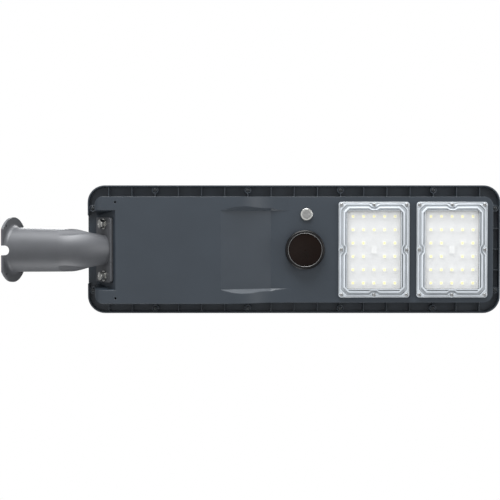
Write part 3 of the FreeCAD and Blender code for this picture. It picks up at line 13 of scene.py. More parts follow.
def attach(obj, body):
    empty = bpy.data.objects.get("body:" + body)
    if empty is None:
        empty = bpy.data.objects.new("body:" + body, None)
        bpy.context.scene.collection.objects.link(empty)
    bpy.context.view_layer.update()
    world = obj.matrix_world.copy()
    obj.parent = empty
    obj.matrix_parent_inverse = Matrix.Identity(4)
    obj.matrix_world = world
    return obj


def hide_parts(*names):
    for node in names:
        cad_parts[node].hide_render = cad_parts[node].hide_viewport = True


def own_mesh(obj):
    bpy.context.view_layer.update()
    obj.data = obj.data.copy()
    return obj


bl_info = {
    "name": "Street Lamp Finishes",
    "version": (1, 0, 0),
    "blender": (4, 5, 0),
    "location": "3D View > Sidebar > Street Lamp",
    "description": "Finishes and small fittings of a solar street lamp with two LED modules",
    "category": "Object",
}

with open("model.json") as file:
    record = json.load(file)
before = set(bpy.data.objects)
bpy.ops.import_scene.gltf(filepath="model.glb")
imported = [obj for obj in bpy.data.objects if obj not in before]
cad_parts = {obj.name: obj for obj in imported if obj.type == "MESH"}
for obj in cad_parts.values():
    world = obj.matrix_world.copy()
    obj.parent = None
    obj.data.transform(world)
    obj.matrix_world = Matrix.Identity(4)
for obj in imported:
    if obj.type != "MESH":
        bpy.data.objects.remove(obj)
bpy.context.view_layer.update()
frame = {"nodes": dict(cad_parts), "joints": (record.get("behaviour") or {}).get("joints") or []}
MM = 0.001
MERGE = 1e-6                   # points closer than this are one
CREASE = math.radians(32)      # edges sharper than this stay sharp
SIDES = 24                     # points round a bolt, nut or screw
CHAMFER_SLOPE = 0.58           # of a hexagon's corners
FACE_SHARE = 0.93              # a hexagon's round face to its flats
THREAD_ROOT = 0.86             # a thread's root to its crest
BOLT_SEED, NUT_SEED = 3, 5     # of the arm bolts' and nuts' turns
PAN_HEAD = 0.66                # a cross screw's head height to its radius
SILICON = 0.6                  # a cell's silicon to its whole thickness
RIBBON = 0.35                  # a ribbon's thickness to a cell's
BUS = 0.86                     # a bus ribbon's length to its row's width


# The head's own axes: X from the arm to the far end, Y across, Z out of the solar panel

def corners(node):
    """Every vertex of a CAD node, in the row frame."""
    mesh = frame["nodes"][node].data
    points = np.empty(len(mesh.vertices) * 3, np.float32)
    mesh.vertices.foreach_get("co", points)
    return points.reshape(-1, 3).astype(float)


def head_axes():
    """Matrix from the head's axes to the row frame; its origin is on the seam of shell and panel."""
    up = Vector(frame["joints"][0]["axis"]).normalized()
    across = Vector((0, 1, 0))
    along = across.cross(up)
    start = (corners("lower_housing") @ np.array(along)).min()
    seam = (corners("panel_frame") @ np.array(up)).min()
    turn = Matrix((along, across, up)).transposed().to_4x4()
    return Matrix.Translation(along * start + up * seam) @ turn


HEAD = head_axes()
TO_HEAD = HEAD.inverted()
DOWNWARD = Matrix.Rotation(math.pi, 4, "X")


def joint_axes():
    """Matrix from the arm joint's axes to the row frame: Z from the arm into the head, Y across."""
    points = corners("arm_gasket")
    centre = points.mean(0)
    normal = Vector(np.linalg.svd(points - centre, full_matrices=False)[2][2])
    normal = normal if normal.x > 0 else -normal
    across = Vector((0, 1, 0))
    down = across.cross(normal).normalized()
    return Matrix.Translation(centre) @ Matrix((down, across, normal)).transposed().to_4x4()


JOINT = joint_axes()


def head_box(node):
    """(lowest corner, highest corner) of a CAD node along the head's axes."""
    turn = np.array(TO_HEAD)
    local = corners(node) @ turn[:3, :3].T + turn[:3, 3]
    return Vector(local.min(0)), Vector(local.max(0))


def solids(node, into=TO_HEAD):
    """(lowest, highest corner) of each separate solid of a CAD node, along the head's axes unless told."""
    shape = bmesh.new()
    shape.from_mesh(frame["nodes"][node].data)
    bmesh.ops.remove_doubles(shape, verts=shape.verts, dist=MERGE)
    shape.transform(into)
    seen = set()
    found = []
    for start in shape.verts:
        if start in seen:
            continue
        seen.add(start)
        queue, island = [start], []
        while queue:
            vert = queue.pop()
            island.append(vert.co)
            for edge in vert.link_edges:
                other = edge.other_vert(vert)
                if other not in seen:
                    seen.add(other)
                    queue.append(other)
        points = np.array(island)
        found.append((Vector(points.min(0)), Vector(points.max(0))))
    shape.free()
    return found


def middle(box):
    return (box[0] + box[1]) / 2


def hung(boxes, end, step=0.0):
    """Points in DOWNWARD axes: each box's middle, at its low (0) or high (1) end or a step above it."""
    return [(p.x, -p.y, -box[end].z - step) for box, p in zip(boxes, map(middle, boxes))]


# Meshes

def to_mesh(name, shape, smooth=True):
    """A mesh from a bmesh, with outward faces and creases kept sharp."""
    bmesh.ops.recalc_face_normals(shape, faces=shape.faces)
    mesh = bpy.data.meshes.new(name)
    shape.to_mesh(mesh)
    shape.free()
    if smooth:
        mesh.shade_smooth()
        mesh.set_sharp_from_angle(angle=CREASE)
    return mesh


def loft(shape, rings, closed=False):
    """Quads between neighbouring rings of equal length; closed joins the last ring to the first."""
    loops = [[shape.verts.new(point) for point in ring] for ring in rings]
    pairs = list(zip(loops, loops[1:]))
    if closed:
        pairs.append((loops[-1], loops[0]))
    for lower, upper in pairs:
        for a in range(len(lower)):
            b = (a + 1) % len(lower)
            shape.faces.new((lower[a], lower[b], upper[b], upper[a]))
    return loops


def ring_of(radius, height, count, turn=0.0):
    return [Vector((radius * math.cos(turn + math.tau * k / count),
                    radius * math.sin(turn + math.tau * k / count), height)) for k in range(count)]


def turned(name, profile, count=48):
    """A closed turned piece about Z from (radius, height) points, bottom to top; its ends may be at radius 0.

    Its UV map runs round the axis, so that a finish can follow the turning.
    """
    shape = bmesh.new()
    rings = [(radius, height) for radius, height in profile if radius > 0]
    loops = loft(shape, [ring_of(radius, height, count) for radius, height in rings])
    for (radius, height), loop in ((profile[0], loops[0]), (profile[-1], loops[-1])):
        if radius > 0:
            shape.faces.new(loop)
            continue
        pole = shape.verts.new((0, 0, height))
        for k in range(count):
            shape.faces.new((loop[k], loop[(k + 1) % count], pole))
    chart = shape.loops.layers.uv.new("turning")
    for face in shape.faces:
        spot = face.calc_center_median()
        base = math.atan2(spot.y, spot.x)
        for corner in face.loops:
            point = corner.vert.co
            radius = math.hypot(point.x, point.y)
            angle = math.atan2(point.y, point.x) if radius > MERGE else base
            angle += math.tau * round((base - angle) / math.tau)
            corner[chart].uv = (angle / math.tau, radius / MM + point.z / MM)
    return to_mesh(name, shape)


def turned_ring(name, profile, count=64):
    """A ring turned about Z from the closed outline of its section, as (radius, height) points."""
    shape = bmesh.new()
    loft(shape, [ring_of(radius, height, count) for radius, height in profile], closed=True)
    return to_mesh(name, shape)


def hexagon(flat, height, limit=None):
    """A hexagon's outline, cut back by a chamfer cone where it stands out past the limit radius."""
    points = []
    for k in range(SIDES):
        angle = math.tau * k / SIDES
        radius = flat / math.cos((angle % (math.pi / 3)) - math.pi / 6)
        drop = 0 if limit is None else max(0, radius - limit) * CHAMFER_SLOPE
        points.append(Vector((radius * math.cos(angle), radius * math.sin(angle), height - drop)))
    return points


def thread_rings(radius, start, end, pitch):
    """Crest and root rings of a thread from one height to another."""
    rings = []
    steps = max(1, int(abs(end - start) / pitch) - 1)
    step = (end - start) / (steps + 1)
    for k in range(steps):
        rings.append(ring_of(radius * THREAD_ROOT, start + (k + 0.5) * step, SIDES))
        rings.append(ring_of(radius, start + (k + 1) * step, SIDES))
    return rings


def hex_bolt(name, flat, head, radius, length, pitch):
    """A chamfered hexagon bolt with a washer face and a thread; the bearing face is at height 0."""
    shape = bmesh.new()
    face = flat * FACE_SHARE
    washer_face, dish = head * 0.08, head * 0.93
    thread_end, plain_start = -length * 0.25, -length * 0.2
    rings = [ring_of(radius * 0.7, -length, SIDES)]
    rings += thread_rings(radius, -length, thread_end, pitch)
    rings += [ring_of(*spot, SIDES) for spot in (
        (radius, plain_start), (radius, 0), (face, 0), (face, washer_face))]
    rings += [hexagon(flat, washer_face), hexagon(flat, head, limit=face)]
    rings += [ring_of(*spot, SIDES) for spot in ((face, head), (flat * 0.62, head), (flat * 0.56, dish))]
    loops = loft(shape, rings)
    shape.faces.new(loops[0])
    shape.faces.new(loops[-1])
    return to_mesh(name, shape)


def hex_nut(name, flat, height, radius, pitch):
    """A nut with chamfered corners and a threaded bore, from height 0 up."""
    shape = bmesh.new()
    face, mouth = flat * FACE_SHARE, radius * 1.06
    upper = hexagon(flat, height, limit=face)
    foot = [Vector((p.x, p.y, height - p.z)) for p in upper]
    rings = [ring_of(face, 0, SIDES), foot, upper]
    rings += [ring_of(face, height, SIDES), ring_of(mouth, height, SIDES)]
    rings += thread_rings(radius, height * 0.92, height * 0.08, pitch)
    rings.append(ring_of(mouth, 0, SIDES))
    loft(shape, rings, closed=True)
    return to_mesh(name, shape)


def slab(name, half_x, half_y, thickness, cut):
    """A thin plate with cut corners and a chamfered upper edge, from height 0 up."""
    shape = bmesh.new()

    def outline(inset, level):
        x, y = half_x - inset, half_y - inset
        return [Vector((a, b, level)) for a, b in (
            (x, -y + cut), (x, y - cut), (x - cut, y), (-x + cut, y),
            (-x, y - cut), (-x, -y + cut), (-x + cut, -y), (x - cut, -y))]
    edge = thickness * 0.3
    loops = loft(shape, [outline(0, 0), outline(0, thickness - edge), outline(edge, thickness)])
    shape.faces.new(loops[0])
    shape.faces.new(loops[-1])
    return to_mesh(name, shape, smooth=False)


def cross_points(half_length, half_width, height):
    """The outline of a cross, anticlockwise from its right arm."""
    quarter = [(half_length, -half_width), (half_length, half_width), (half_width, half_width)]
    points = []
    for k in range(4):
        turn = Matrix.Rotation(k * math.pi / 2, 3, "Z")
        points += [turn @ Vector((x, y, height)) for x, y in quarter]
    return points


def cross_screw(name, head_radius, head_height, shank_radius, length, pitch):
    """A pan-head screw with a cross recess and a threaded shank; the head's bearing face is at height 0."""
    shape = bmesh.new()
    rings = [ring_of(shank_radius * 0.35, -length, SIDES)]
    rings += thread_rings(shank_radius, -length, 0, pitch)
    rings.append(ring_of(shank_radius, 0, SIDES))
    rings.append(ring_of(head_radius, 0, SIDES))
    crown = 0.55               # how far the head's round falls in
    for share in (0.25, 0.6, 0.85):
        rings.append(ring_of(head_radius * math.sqrt(1 - share ** 2 * crown), head_height * share, SIDES))
    rings.append(ring_of(head_radius * 0.56, head_height, SIDES))
    loops = loft(shape, rings)
    shape.faces.new(loops[0])
    brim = loops[-1]
    mouth = cross_points(head_radius * 0.5, head_radius * 0.13, head_height)
    bottom = cross_points(head_radius * 0.3, head_radius * 0.09, head_height * 0.25)
    upper, lower = loft(shape, [mouth, bottom])
    for k, corner in enumerate(upper):
        first, second, third = (brim[(2 * k + step) % SIDES] for step in (-2, -1, 0))
        shape.faces.new((first, second, corner))
        shape.faces.new((second, third, corner))
        shape.faces.new((third, upper[(k + 1) % len(upper)], corner))
    shape.faces.new(lower)
    return to_mesh(name, shape)


def piece(name, mesh, finishes, replaces, place=HEAD, body="lamp"):
    """A finished piece: its mesh goes to its place, and it rides on a body and stands for CAD nodes."""
    mesh.transform(place)
    if not mesh.materials:
        for finish_name in finishes:
            mesh.materials.append(bpy.data.materials[finish_name])
    made = bpy.data.objects.new(name, mesh)
    bpy.context.scene.collection.objects.link(made)
    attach(made, body)
    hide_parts(*replaces)
    return made


# Geometry Nodes

def set_inputs(tree, node, inputs):
    """Gives each named input a value or, from a socket, a link."""
    for key, value in inputs.items():
        if isinstance(value, bpy.types.NodeSocket):
            tree.links.new(value, node.inputs[key])
        else:
            node.inputs[key].default_value = value


def add_node(tree, kind, inputs=None, **settings):
    made = tree.nodes.new(kind)
    for key, value in settings.items():
        setattr(made, key, value)
    set_inputs(tree, made, inputs or {})
    return made


class NodeTree:
    """A short way to build a Geometry Nodes group with named inputs."""

    def __init__(self, name, inputs):
        self.tree = bpy.data.node_groups.new(name, "GeometryNodeTree")
        self.tree.interface.new_socket("Geometry", in_out="OUTPUT", socket_type="NodeSocketGeometry")
        for label, kind in inputs.items():
            self.tree.interface.new_socket(label, in_out="INPUT", socket_type=f"NodeSocket{kind}")
        self.given = self.tree.nodes.new("NodeGroupInput")
        self.result = self.tree.nodes.new("NodeGroupOutput")

    def node(self, kind, inputs=None, **settings):
        return add_node(self.tree, kind, inputs, **settings)

    def value(self, label):
        return self.given.outputs[label]

    def math(self, operation, first, second=0.0):
        return self.node("ShaderNodeMath", {0: first, 1: second}, operation=operation).outputs[0]

    def finish(self, geometry, *materials):
        """Ends the tree: instances made real, then each (label, selection) material set."""
        geometry = self.node("GeometryNodeRealizeInstances", {"Geometry": geometry}).outputs[0]
        for label, selection in materials:
            inputs = {"Geometry": geometry, "Material": self.value(label)}
            if selection:
                inputs["Selection"] = selection
            geometry = self.node("GeometryNodeSetMaterial", inputs).outputs[0]
        self.tree.links.new(geometry, self.result.inputs[0])
        return self.tree


def add_object(name, data):
    made = bpy.data.objects.new(name, data)
    bpy.context.scene.collection.objects.link(made)
    return made


def tree_named(name, build):
    return bpy.data.node_groups.get(name) or build(name)


def run_tree(name, base, tree, values):
    """The plain mesh that a tree makes from a base mesh, with its inputs set by label."""
    carrier = add_object(name, base)
    modifier = carrier.modifiers.new("shape", "NODES")
    modifier.node_group = tree
    for item in tree.interface.items_tree:
        if item.in_out == "INPUT" and item.name in values:
            modifier[item.identifier] = values[item.name]
    graph = bpy.context.evaluated_depsgraph_get()
    mesh = bpy.data.meshes.new_from_object(carrier.evaluated_get(graph))
    carrier.modifiers.remove(modifier)
    bpy.data.objects.remove(carrier)
    return mesh


def build_scatter(name):
    """Sets one pattern on every point, turned about Z by a steady step and a random angle."""
    net = NodeTree(name, {"Geometry": "Geometry", "Pattern": "Object", "Step": "Float", "Turn": "Float",
                          "Seed": "Int", "Finish": "Material", "Second finish": "Material"})
    pattern = net.node("GeometryNodeObjectInfo", {"Object": net.value("Pattern")})
    chance = net.node("FunctionNodeRandomValue", {3: net.value("Turn"), "Seed": net.value("Seed")})
    order = net.node("GeometryNodeInputIndex")
    steady = net.math("MULTIPLY", order.outputs[0], net.value("Step"))
    turn = net.node("ShaderNodeCombineXYZ", {"Z": net.math("ADD", steady, chance.outputs[1])})
    spread = net.node("GeometryNodeInstanceOnPoints", {
        "Points": net.value("Geometry"), "Rotation": turn.outputs[0],
        "Instance": pattern.outputs["Geometry"]})
    second = net.node("GeometryNodeInputNamedAttribute", {"Name": "second"}, data_type="BOOLEAN")
    return net.finish(spread.outputs[0], ("Finish", None), ("Second finish", second.outputs["Attribute"]))


def scattered(name, pattern, points, finish, second=None, turn=0.0, seed=1, step=0.0):
    """One mesh with a pattern mesh at every point, both in the same axes."""
    base = bpy.data.meshes.new(name + "_points")
    base.from_pydata(points, [], [])
    holder = add_object(name + "_pattern", pattern)
    mesh = run_tree(name, base, tree_named("Scatter", build_scatter), {
        "Pattern": holder, "Turn": turn, "Seed": seed, "Step": step, "Finish": bpy.data.materials[finish],
        "Second finish": bpy.data.materials[second or finish]})
    bpy.data.objects.remove(holder)
    return mesh


# Finishes

CLOUD_RANGE = (0.3, 0.7)       # the part of a noise cloud that colour and gloss drift over


def finish(name, colour, roughness, metallic=0.0, mottle=0.08, patch=0.03, grain=0.0008, depth=0.0, edge=0.0,
           **sockets):
    """A finish whose colour and gloss drift softly over the piece, over a fine grain in its surface."""
    material = bpy.data.materials.new(name)
    material.use_nodes = True
    material.diffuse_color = (*colour, 1)
    tree = material.node_tree
    place = add_node(tree, "ShaderNodeTexCoord").outputs["Object"]
    cloud = add_node(tree, "ShaderNodeTexNoise", {"Scale": 1 / patch, "Detail": 4, "Vector": place})
    tint = add_node(tree, "ShaderNodeValToRGB", {"Fac": cloud.outputs["Fac"]})
    for stop, position, share in zip(tint.color_ramp.elements, CLOUD_RANGE, (1 - mottle, 1 + mottle)):
        stop.position = position
        stop.color = (*[min(1, c * share) for c in colour], 1)
    gloss = add_node(tree, "ShaderNodeMapRange", {
        "Value": cloud.outputs["Fac"], "From Min": CLOUD_RANGE[0], "From Max": CLOUD_RANGE[1],
        "To Min": roughness * (1 - mottle), "To Max": roughness * (1 + mottle)})
    fine = add_node(tree, "ShaderNodeTexNoise", {"Scale": 1 / grain, "Vector": place})
    bump = add_node(tree, "ShaderNodeBump", {"Distance": depth, "Height": fine.outputs["Fac"]})
    if edge:
        bevel = add_node(tree, "ShaderNodeBevel", {"Radius": edge}, samples=4)
        set_inputs(tree, bump, {"Normal": bevel.outputs["Normal"]})
    set_inputs(tree, tree.nodes["Principled BSDF"], {
        "Metallic": metallic, "Base Color": tint.outputs["Color"], "Roughness": gloss.outputs["Result"],
        "Normal": bump.outputs["Normal"],
        **{socket.replace("_", " "): value for socket, value in sockets.items()}})
    return material


def turned_finish(name, *args, **kwargs):
    """A finish whose gloss streaks round the axis of a turned piece."""
    material = finish(name, *args, **kwargs)
    tree = material.node_tree
    round_axis = add_node(tree, "ShaderNodeTangent", direction_type="UV_MAP", uv_map="turning")
    set_inputs(tree, tree.nodes["Principled BSDF"], {"Tangent": round_axis.outputs[0]})
    return material


def lined_finish(name, *args, pitch=0.0016, share=0.06, line=(0.2, 0.22, 0.26), **kwargs):
    """A finish with fine silver lines across the head at an even pitch."""
    material = finish(name, *args, **kwargs)
    tree = material.node_tree
    shader, place = tree.nodes["Principled BSDF"], tree.nodes["Texture Coordinate"]
    turn = add_node(tree, "ShaderNodeMapping", {
        "Rotation": TO_HEAD.to_euler(), "Vector": place.outputs["Object"]})
    value = add_node(tree, "ShaderNodeSeparateXYZ", {"Vector": turn.outputs["Vector"]}).outputs["X"]
    for operation, amount in (("DIVIDE", pitch), ("FRACT", 0), ("LESS_THAN", share)):
        value = add_node(tree, "ShaderNodeMath", {0: value, 1: amount}, operation=operation).outputs[0]
    colour = shader.inputs["Base Color"].links[0].from_socket
    mixed = add_node(tree, "ShaderNodeMix", {"Factor": value, "A": colour, "B": (*line, 1)}, data_type="RGBA")
    set_inputs(tree, shader, {"Base Color": mixed.outputs["Result"]})
    return material


# Plain plastic, a lighter copy as painted highlight on the ridge tops, and a darker copy as painted shade in
# the grooves and at the window's edge
BORDER_FINISHES = ("lens_border_plastic", "lens_ridge_plastic", "lens_groove_plastic")


def make_finishes(colours):
    """Every finish of the lamp, named for what carries it."""
    finish("shell_powder_coat", colours.shell, 0.5, mottle=0.05, patch=0.05, grain=0.0007, depth=0.00004,
           edge=0.0016, Specular_IOR_Level=0.5)
    finish("arm_powder_coat", colours.arm, 0.5, metallic=0.2, mottle=0.05, patch=0.02, grain=0.0006,
           depth=0.00004, edge=0.0006)
    finish("frame_moulding", colours.frame, 0.42, mottle=0.08, patch=0.04, grain=0.0005, depth=0.00003,
           edge=0.0005)
    finish("stainless_steel", (0.56, 0.56, 0.54), 0.26, metallic=1.0, mottle=0.1, patch=0.002, grain=0.0003,
           depth=0.00001)
    finish("zinc_plate", (0.42, 0.43, 0.45), 0.34, metallic=1.0, mottle=0.16, patch=0.003, grain=0.0004,
           depth=0.00002, edge=0.0003)
    finish("black_rubber_seal", (0.014, 0.014, 0.015), 0.75, patch=0.01, grain=0.0005, depth=0.00005)
    # The shares make the lighter painted-highlight copy and the darker painted-shade copy of the border's
    # plastic
    for name, share in zip(BORDER_FINISHES, (1.0, 1.4, 0.6)):
        finish(name, [min(0.86, c * share) for c in colours.lens_border], 0.24, mottle=0.05, patch=0.02,
               grain=0.0006, depth=0.00002, IOR=1.49)
    finish("dark_zinc", (0.05, 0.055, 0.06), 0.4, metallic=0.5, mottle=0.15, patch=0.003, grain=0.0004,
           depth=0.00002)
    finish("dull_stainless", (0.34, 0.345, 0.35), 0.42, metallic=0.9, mottle=0.12, patch=0.003, grain=0.0004,
           depth=0.00002)
    turned_finish("turned_stainless", (0.36, 0.36, 0.355), 0.3, metallic=1.0, mottle=0.06, patch=0.004,
                  grain=0.0003, depth=0.00001, Anisotropic=0.75)
    finish("copper_wire", (0.6, 0.24, 0.09), 0.25, metallic=1.0, mottle=0.1, patch=0.002, Coat_Weight=0.4)
    # Lighter grey of the ring round the sensor disc: a painted highlight
    finish("sensor_trim_grey", (0.12, 0.12, 0.12), 0.24, mottle=0.06, patch=0.004)
    finish("lens_window_plastic", (0.9, 0.92, 0.93), 0.12, mottle=0.02, patch=0.02, grain=0.002,
           depth=0.00001, Alpha=0.2, IOR=1.49)
    finish("board_white_mask", (0.53, 0.53, 0.53), 0.42, mottle=0.02, patch=0.01, grain=0.0006, depth=0.00001)
    finish("led_package_white", (0.88, 0.87, 0.8), 0.35, mottle=0.02, patch=0.002)
    finish("led_phosphor", colours.phosphor, 0.3, mottle=0.06, patch=0.0015, grain=0.0002, depth=0.00002,
           Emission_Color=(*colours.phosphor, 1), Emission_Strength=0.12)
    finish("connector_white", (0.62, 0.62, 0.61), 0.4, mottle=0.03, patch=0.004)
    finish("silicone_seal", (0.5, 0.52, 0.53), 0.45, mottle=0.05, patch=0.01, grain=0.001, depth=0.00003)
    finish("sensor_bezel_black", (0.004, 0.004, 0.0045), 0.36, patch=0.02, grain=0.0006, depth=0.00001,
           Specular_IOR_Level=0.2)
    finish("sensor_disc_black", (0.006, 0.003, 0.002), 0.1, mottle=0.15, patch=0.02, Specular_IOR_Level=0.12)
    lined_finish("silicon_cell_blue", colours.cell, 0.3, mottle=0.25, patch=0.02, grain=0.001, depth=0.00001,
                 Coat_Weight=0.6, Coat_Roughness=0.06)
    finish("tinned_ribbon", (0.66, 0.66, 0.65), 0.3, metallic=1.0, mottle=0.1, patch=0.004)
    finish("panel_glass_low_iron", (0.06, 0.09, 0.11), 0.04, mottle=0.01, patch=0.02, grain=0.0012,
           depth=0.00001, Alpha=0.1, IOR=1.5)
    finish("backsheet_white", (0.8, 0.81, 0.82), 0.5, mottle=0.03, patch=0.05, grain=0.0008, depth=0.00002)
    finish("cell_sleeve_blue", (0.03, 0.14, 0.36), 0.25, mottle=0.06, patch=0.02, Coat_Weight=0.5)
    finish("holder_black", (0.02, 0.02, 0.022), 0.5, patch=0.01, grain=0.0006, depth=0.00003, edge=0.0003)
    finish("nickel_strip_metal", (0.62, 0.59, 0.53), 0.28, metallic=1.0, mottle=0.12, patch=0.004)
    finish("circuit_green", (0.01, 0.12, 0.05), 0.3, mottle=0.2, patch=0.004, grain=0.0006, depth=0.00003,
           Coat_Weight=0.4)
    finish("capacitor_sleeve_dark", (0.02, 0.02, 0.04), 0.3, mottle=0.1, patch=0.004, Coat_Weight=0.3)
    finish("ferrite_core", (0.3, 0.12, 0.05), 0.4, mottle=0.2, patch=0.003, grain=0.0004, depth=0.00005)
    finish("heat_sink_aluminium", (0.62, 0.63, 0.64), 0.35, metallic=1.0, mottle=0.08, patch=0.004)
    finish("terminal_green", (0.03, 0.28, 0.1), 0.45, mottle=0.06, patch=0.006, edge=0.0002)
    finish("chip_black", (0.012, 0.012, 0.012), 0.4, mottle=0.1, patch=0.002, grain=0.0003, depth=0.00002)
    finish("spring_wire", (0.5, 0.5, 0.5), 0.25, metallic=1.0, mottle=0.1, patch=0.001)
    finish("brass_pin", (0.6, 0.43, 0.16), 0.28, metallic=1.0, mottle=0.1, patch=0.002)


NODE_FINISHES = {
    "shell_powder_coat": ("lower_housing",),
    "arm_powder_coat": ("bracket_arm",),
    "frame_moulding": ("panel_frame", "panel_junction_box"),
    "stainless_steel": ("arm_flat_washers", "arm_spring_washers", "clamp_screws", "switch_body"),
    "zinc_plate": ("arm_backing_plate", "battery_straps", "strap_screws", "controller_screws", "switch_nut"),
    "black_rubber_seal": ("arm_gasket", "frame_gasket", "sensor_gasket", "switch_seal"),
    "silicone_seal": ("inner_lens_gasket", "outer_lens_gasket"),
    "board_white_mask": ("inner_led_board", "outer_led_board"),
    "connector_white": ("inner_led_plug", "outer_led_plug"),
    "sensor_bezel_black": ("sensor_bezel", "sensor_nut"),
    "sensor_disc_black": ("sensor_lens",),
    "panel_glass_low_iron": ("panel_glass",),
    "backsheet_white": ("panel_backsheet",),
    "holder_black": ("cell_holder_inner", "cell_holder_outer"),
    "nickel_strip_metal": ("nickel_strips",),
    "circuit_green": ("battery_guard_board", "controller_board", "sensor_board"),
    "ferrite_core": ("choke_coil",),
    "heat_sink_aluminium": ("heat_sink",),
    "terminal_green": ("terminal_block",),
    "chip_black": ("controller_chips", "sensor_detector"),
    "brass_pin": ("switch_terminals",),
}


# Sizes and colours

class LampColours(bpy.types.PropertyGroup):
    shell: FloatVectorProperty(name="Shell", description="Powder coat of the lower shell", subtype="COLOR",
                               default=(0.02, 0.028, 0.038), min=0, max=1)
    arm: FloatVectorProperty(name="Arm", description="Powder coat of the bracket arm", subtype="COLOR",
                             default=(0.066, 0.069, 0.076), min=0, max=1)
    frame: FloatVectorProperty(name="Panel frame", description="Moulding round the solar panel",
                               subtype="COLOR", default=(0.016, 0.018, 0.021), min=0, max=1)
    lens_border: FloatVectorProperty(name="Lens border", description="Stepped border of the lens covers",
                                     subtype="COLOR", default=(0.36, 0.385, 0.41), min=0, max=1)
    phosphor: FloatVectorProperty(name="Phosphor", description="Yellow face of each LED", subtype="COLOR",
                                  default=(0.85, 0.76, 0.16), min=0, max=1)
    cell: FloatVectorProperty(name="Solar cell", description="Silicon under the panel glass", subtype="COLOR",
                              default=(0.006, 0.011, 0.034), min=0, max=1)


class StageSizes(bpy.types.PropertyGroup):
    distance: FloatProperty(name="Camera distance", description="From the camera to the head", default=2.2,
                            min=0.5, unit="LENGTH")
    width: FloatProperty(name="View width", description="Width that the picture takes in at the head",
                         default=0.8217, min=0.1, unit="LENGTH")
    along: FloatProperty(name="Aim along", description="Point looked at, from the head's near end",
                         default=0.2651, unit="LENGTH")
    across: FloatProperty(name="Aim across", description="Point looked at, from the head's middle line",
                          default=0.0016, unit="LENGTH")
    lean: FloatProperty(name="Camera lean", description="Camera's step to one side of the head",
                        default=-0.077, unit="LENGTH")
    drop: FloatProperty(name="Floor depth", description="From the lamp's mount down to the floor",
                        default=3.0, min=1, unit="LENGTH")
    sky: FloatProperty(name="Sky", description="Strength of the even light from all round", default=0.37,
                       min=0)
    key: FloatProperty(name="Key light", description="Power of the large soft light", default=120, min=0,
                       unit="POWER")
    side: FloatProperty(name="Side light", description="Power of the light across from the key", default=32,
                        min=0, unit="POWER")
    fill: FloatProperty(name="Fill light", description="Power of the light near the arm", default=4, min=0,
                        unit="POWER")
    end: FloatProperty(name="End light", description="Power of the light past the far end", default=26, min=0,
                       unit="POWER")
    top: FloatProperty(name="Top light", description="Power of the light above the panel", default=60, min=0,
                       unit="POWER")


class LensSizes(bpy.types.PropertyGroup):
    window_inset: FloatProperty(name="Window inset", description="Cover's edge to its clear window",
                                default=0.0139, min=0, unit="LENGTH")
    jog: FloatProperty(name="Groove jog", description="How far the grooves step inwards round a screw",
                       default=0.0039, min=0, unit="LENGTH")
    dome_radius: FloatProperty(name="Optic radius", description="Radius of the dome over each LED",
                               default=0.0068, min=0.001, unit="LENGTH")
    dome_height: FloatProperty(name="Optic height", description="Height of the dome over each LED",
                               default=0.0014, min=0, unit="LENGTH")


class FastenerSizes(bpy.types.PropertyGroup):
    pitch: FloatProperty(name="Thread pitch", description="Pitch of the small screws' threads",
                         default=0.00098, min=0.0002, unit="LENGTH")
    bolt_pitch: FloatProperty(name="Bolt pitch", description="Pitch of the arm bolts' threads",
                              default=0.00125, min=0.0004, unit="LENGTH")
    bolt_radius: FloatProperty(name="Bolt radius", description="Outer radius of the arm bolts' threads",
                               default=0.004, min=0.001, unit="LENGTH")
    spring_wire: FloatProperty(name="Spring wire", description="Thickness of the button spring's wire",
                               default=0.0008, min=0.0001, unit="LENGTH")
    spring_turns: FloatProperty(name="Spring turns", description="Turns of the button's spring", default=4,
                                min=1)
    seed: IntProperty(name="Seed", description="Seed of the screws' turns", default=4, min=0)


class PanelSizes(bpy.types.PropertyGroup):
    cell_corner: FloatProperty(name="Cell corner", description="Cut at each corner of a silicon cell",
                               default=0.0012, min=0, unit="LENGTH")
    ribbons: IntProperty(name="Ribbons", description="Ribbons along each row of cells", default=3, min=1)
    ribbon_width: FloatProperty(name="Ribbon width", description="Width of a cell ribbon", default=0.0013,
                                min=0.0002, unit="LENGTH")
    bus_width: FloatProperty(name="Bus width", description="Width of the ribbons at the rows' ends",
                             default=0.004, min=0.0005, unit="LENGTH")


class LampSettings(bpy.types.PropertyGroup):
    colours: PointerProperty(name="Colours", description="Colours of the lamp", type=LampColours)
    stage: PointerProperty(name="Stage", description="Camera, lights and floor", type=StageSizes)
    lens: PointerProperty(name="Lens", description="Sizes of the lens covers", type=LensSizes)
    fastener: PointerProperty(name="Fasteners", description="Sizes of the screws", type=FastenerSizes)
    panel: PointerProperty(name="Solar panel", description="Sizes of the solar cells", type=PanelSizes)


def settings():
    return bpy.context.scene.street_lamp


# Pieces

class LAMP_OT_finishes(bpy.types.Operator):
    """Makes every finish and gives the CAD nodes theirs"""
    bl_idname = "lamp.finishes"
    bl_label = "Finishes"

    def execute(self, context):
        make_finishes(settings().colours)
        for name, nodes in NODE_FINISHES.items():
            for node in nodes:
                mesh = frame["nodes"][node].data
                mesh.materials.clear()
                mesh.materials.append(bpy.data.materials[name])
        return {"FINISHED"}


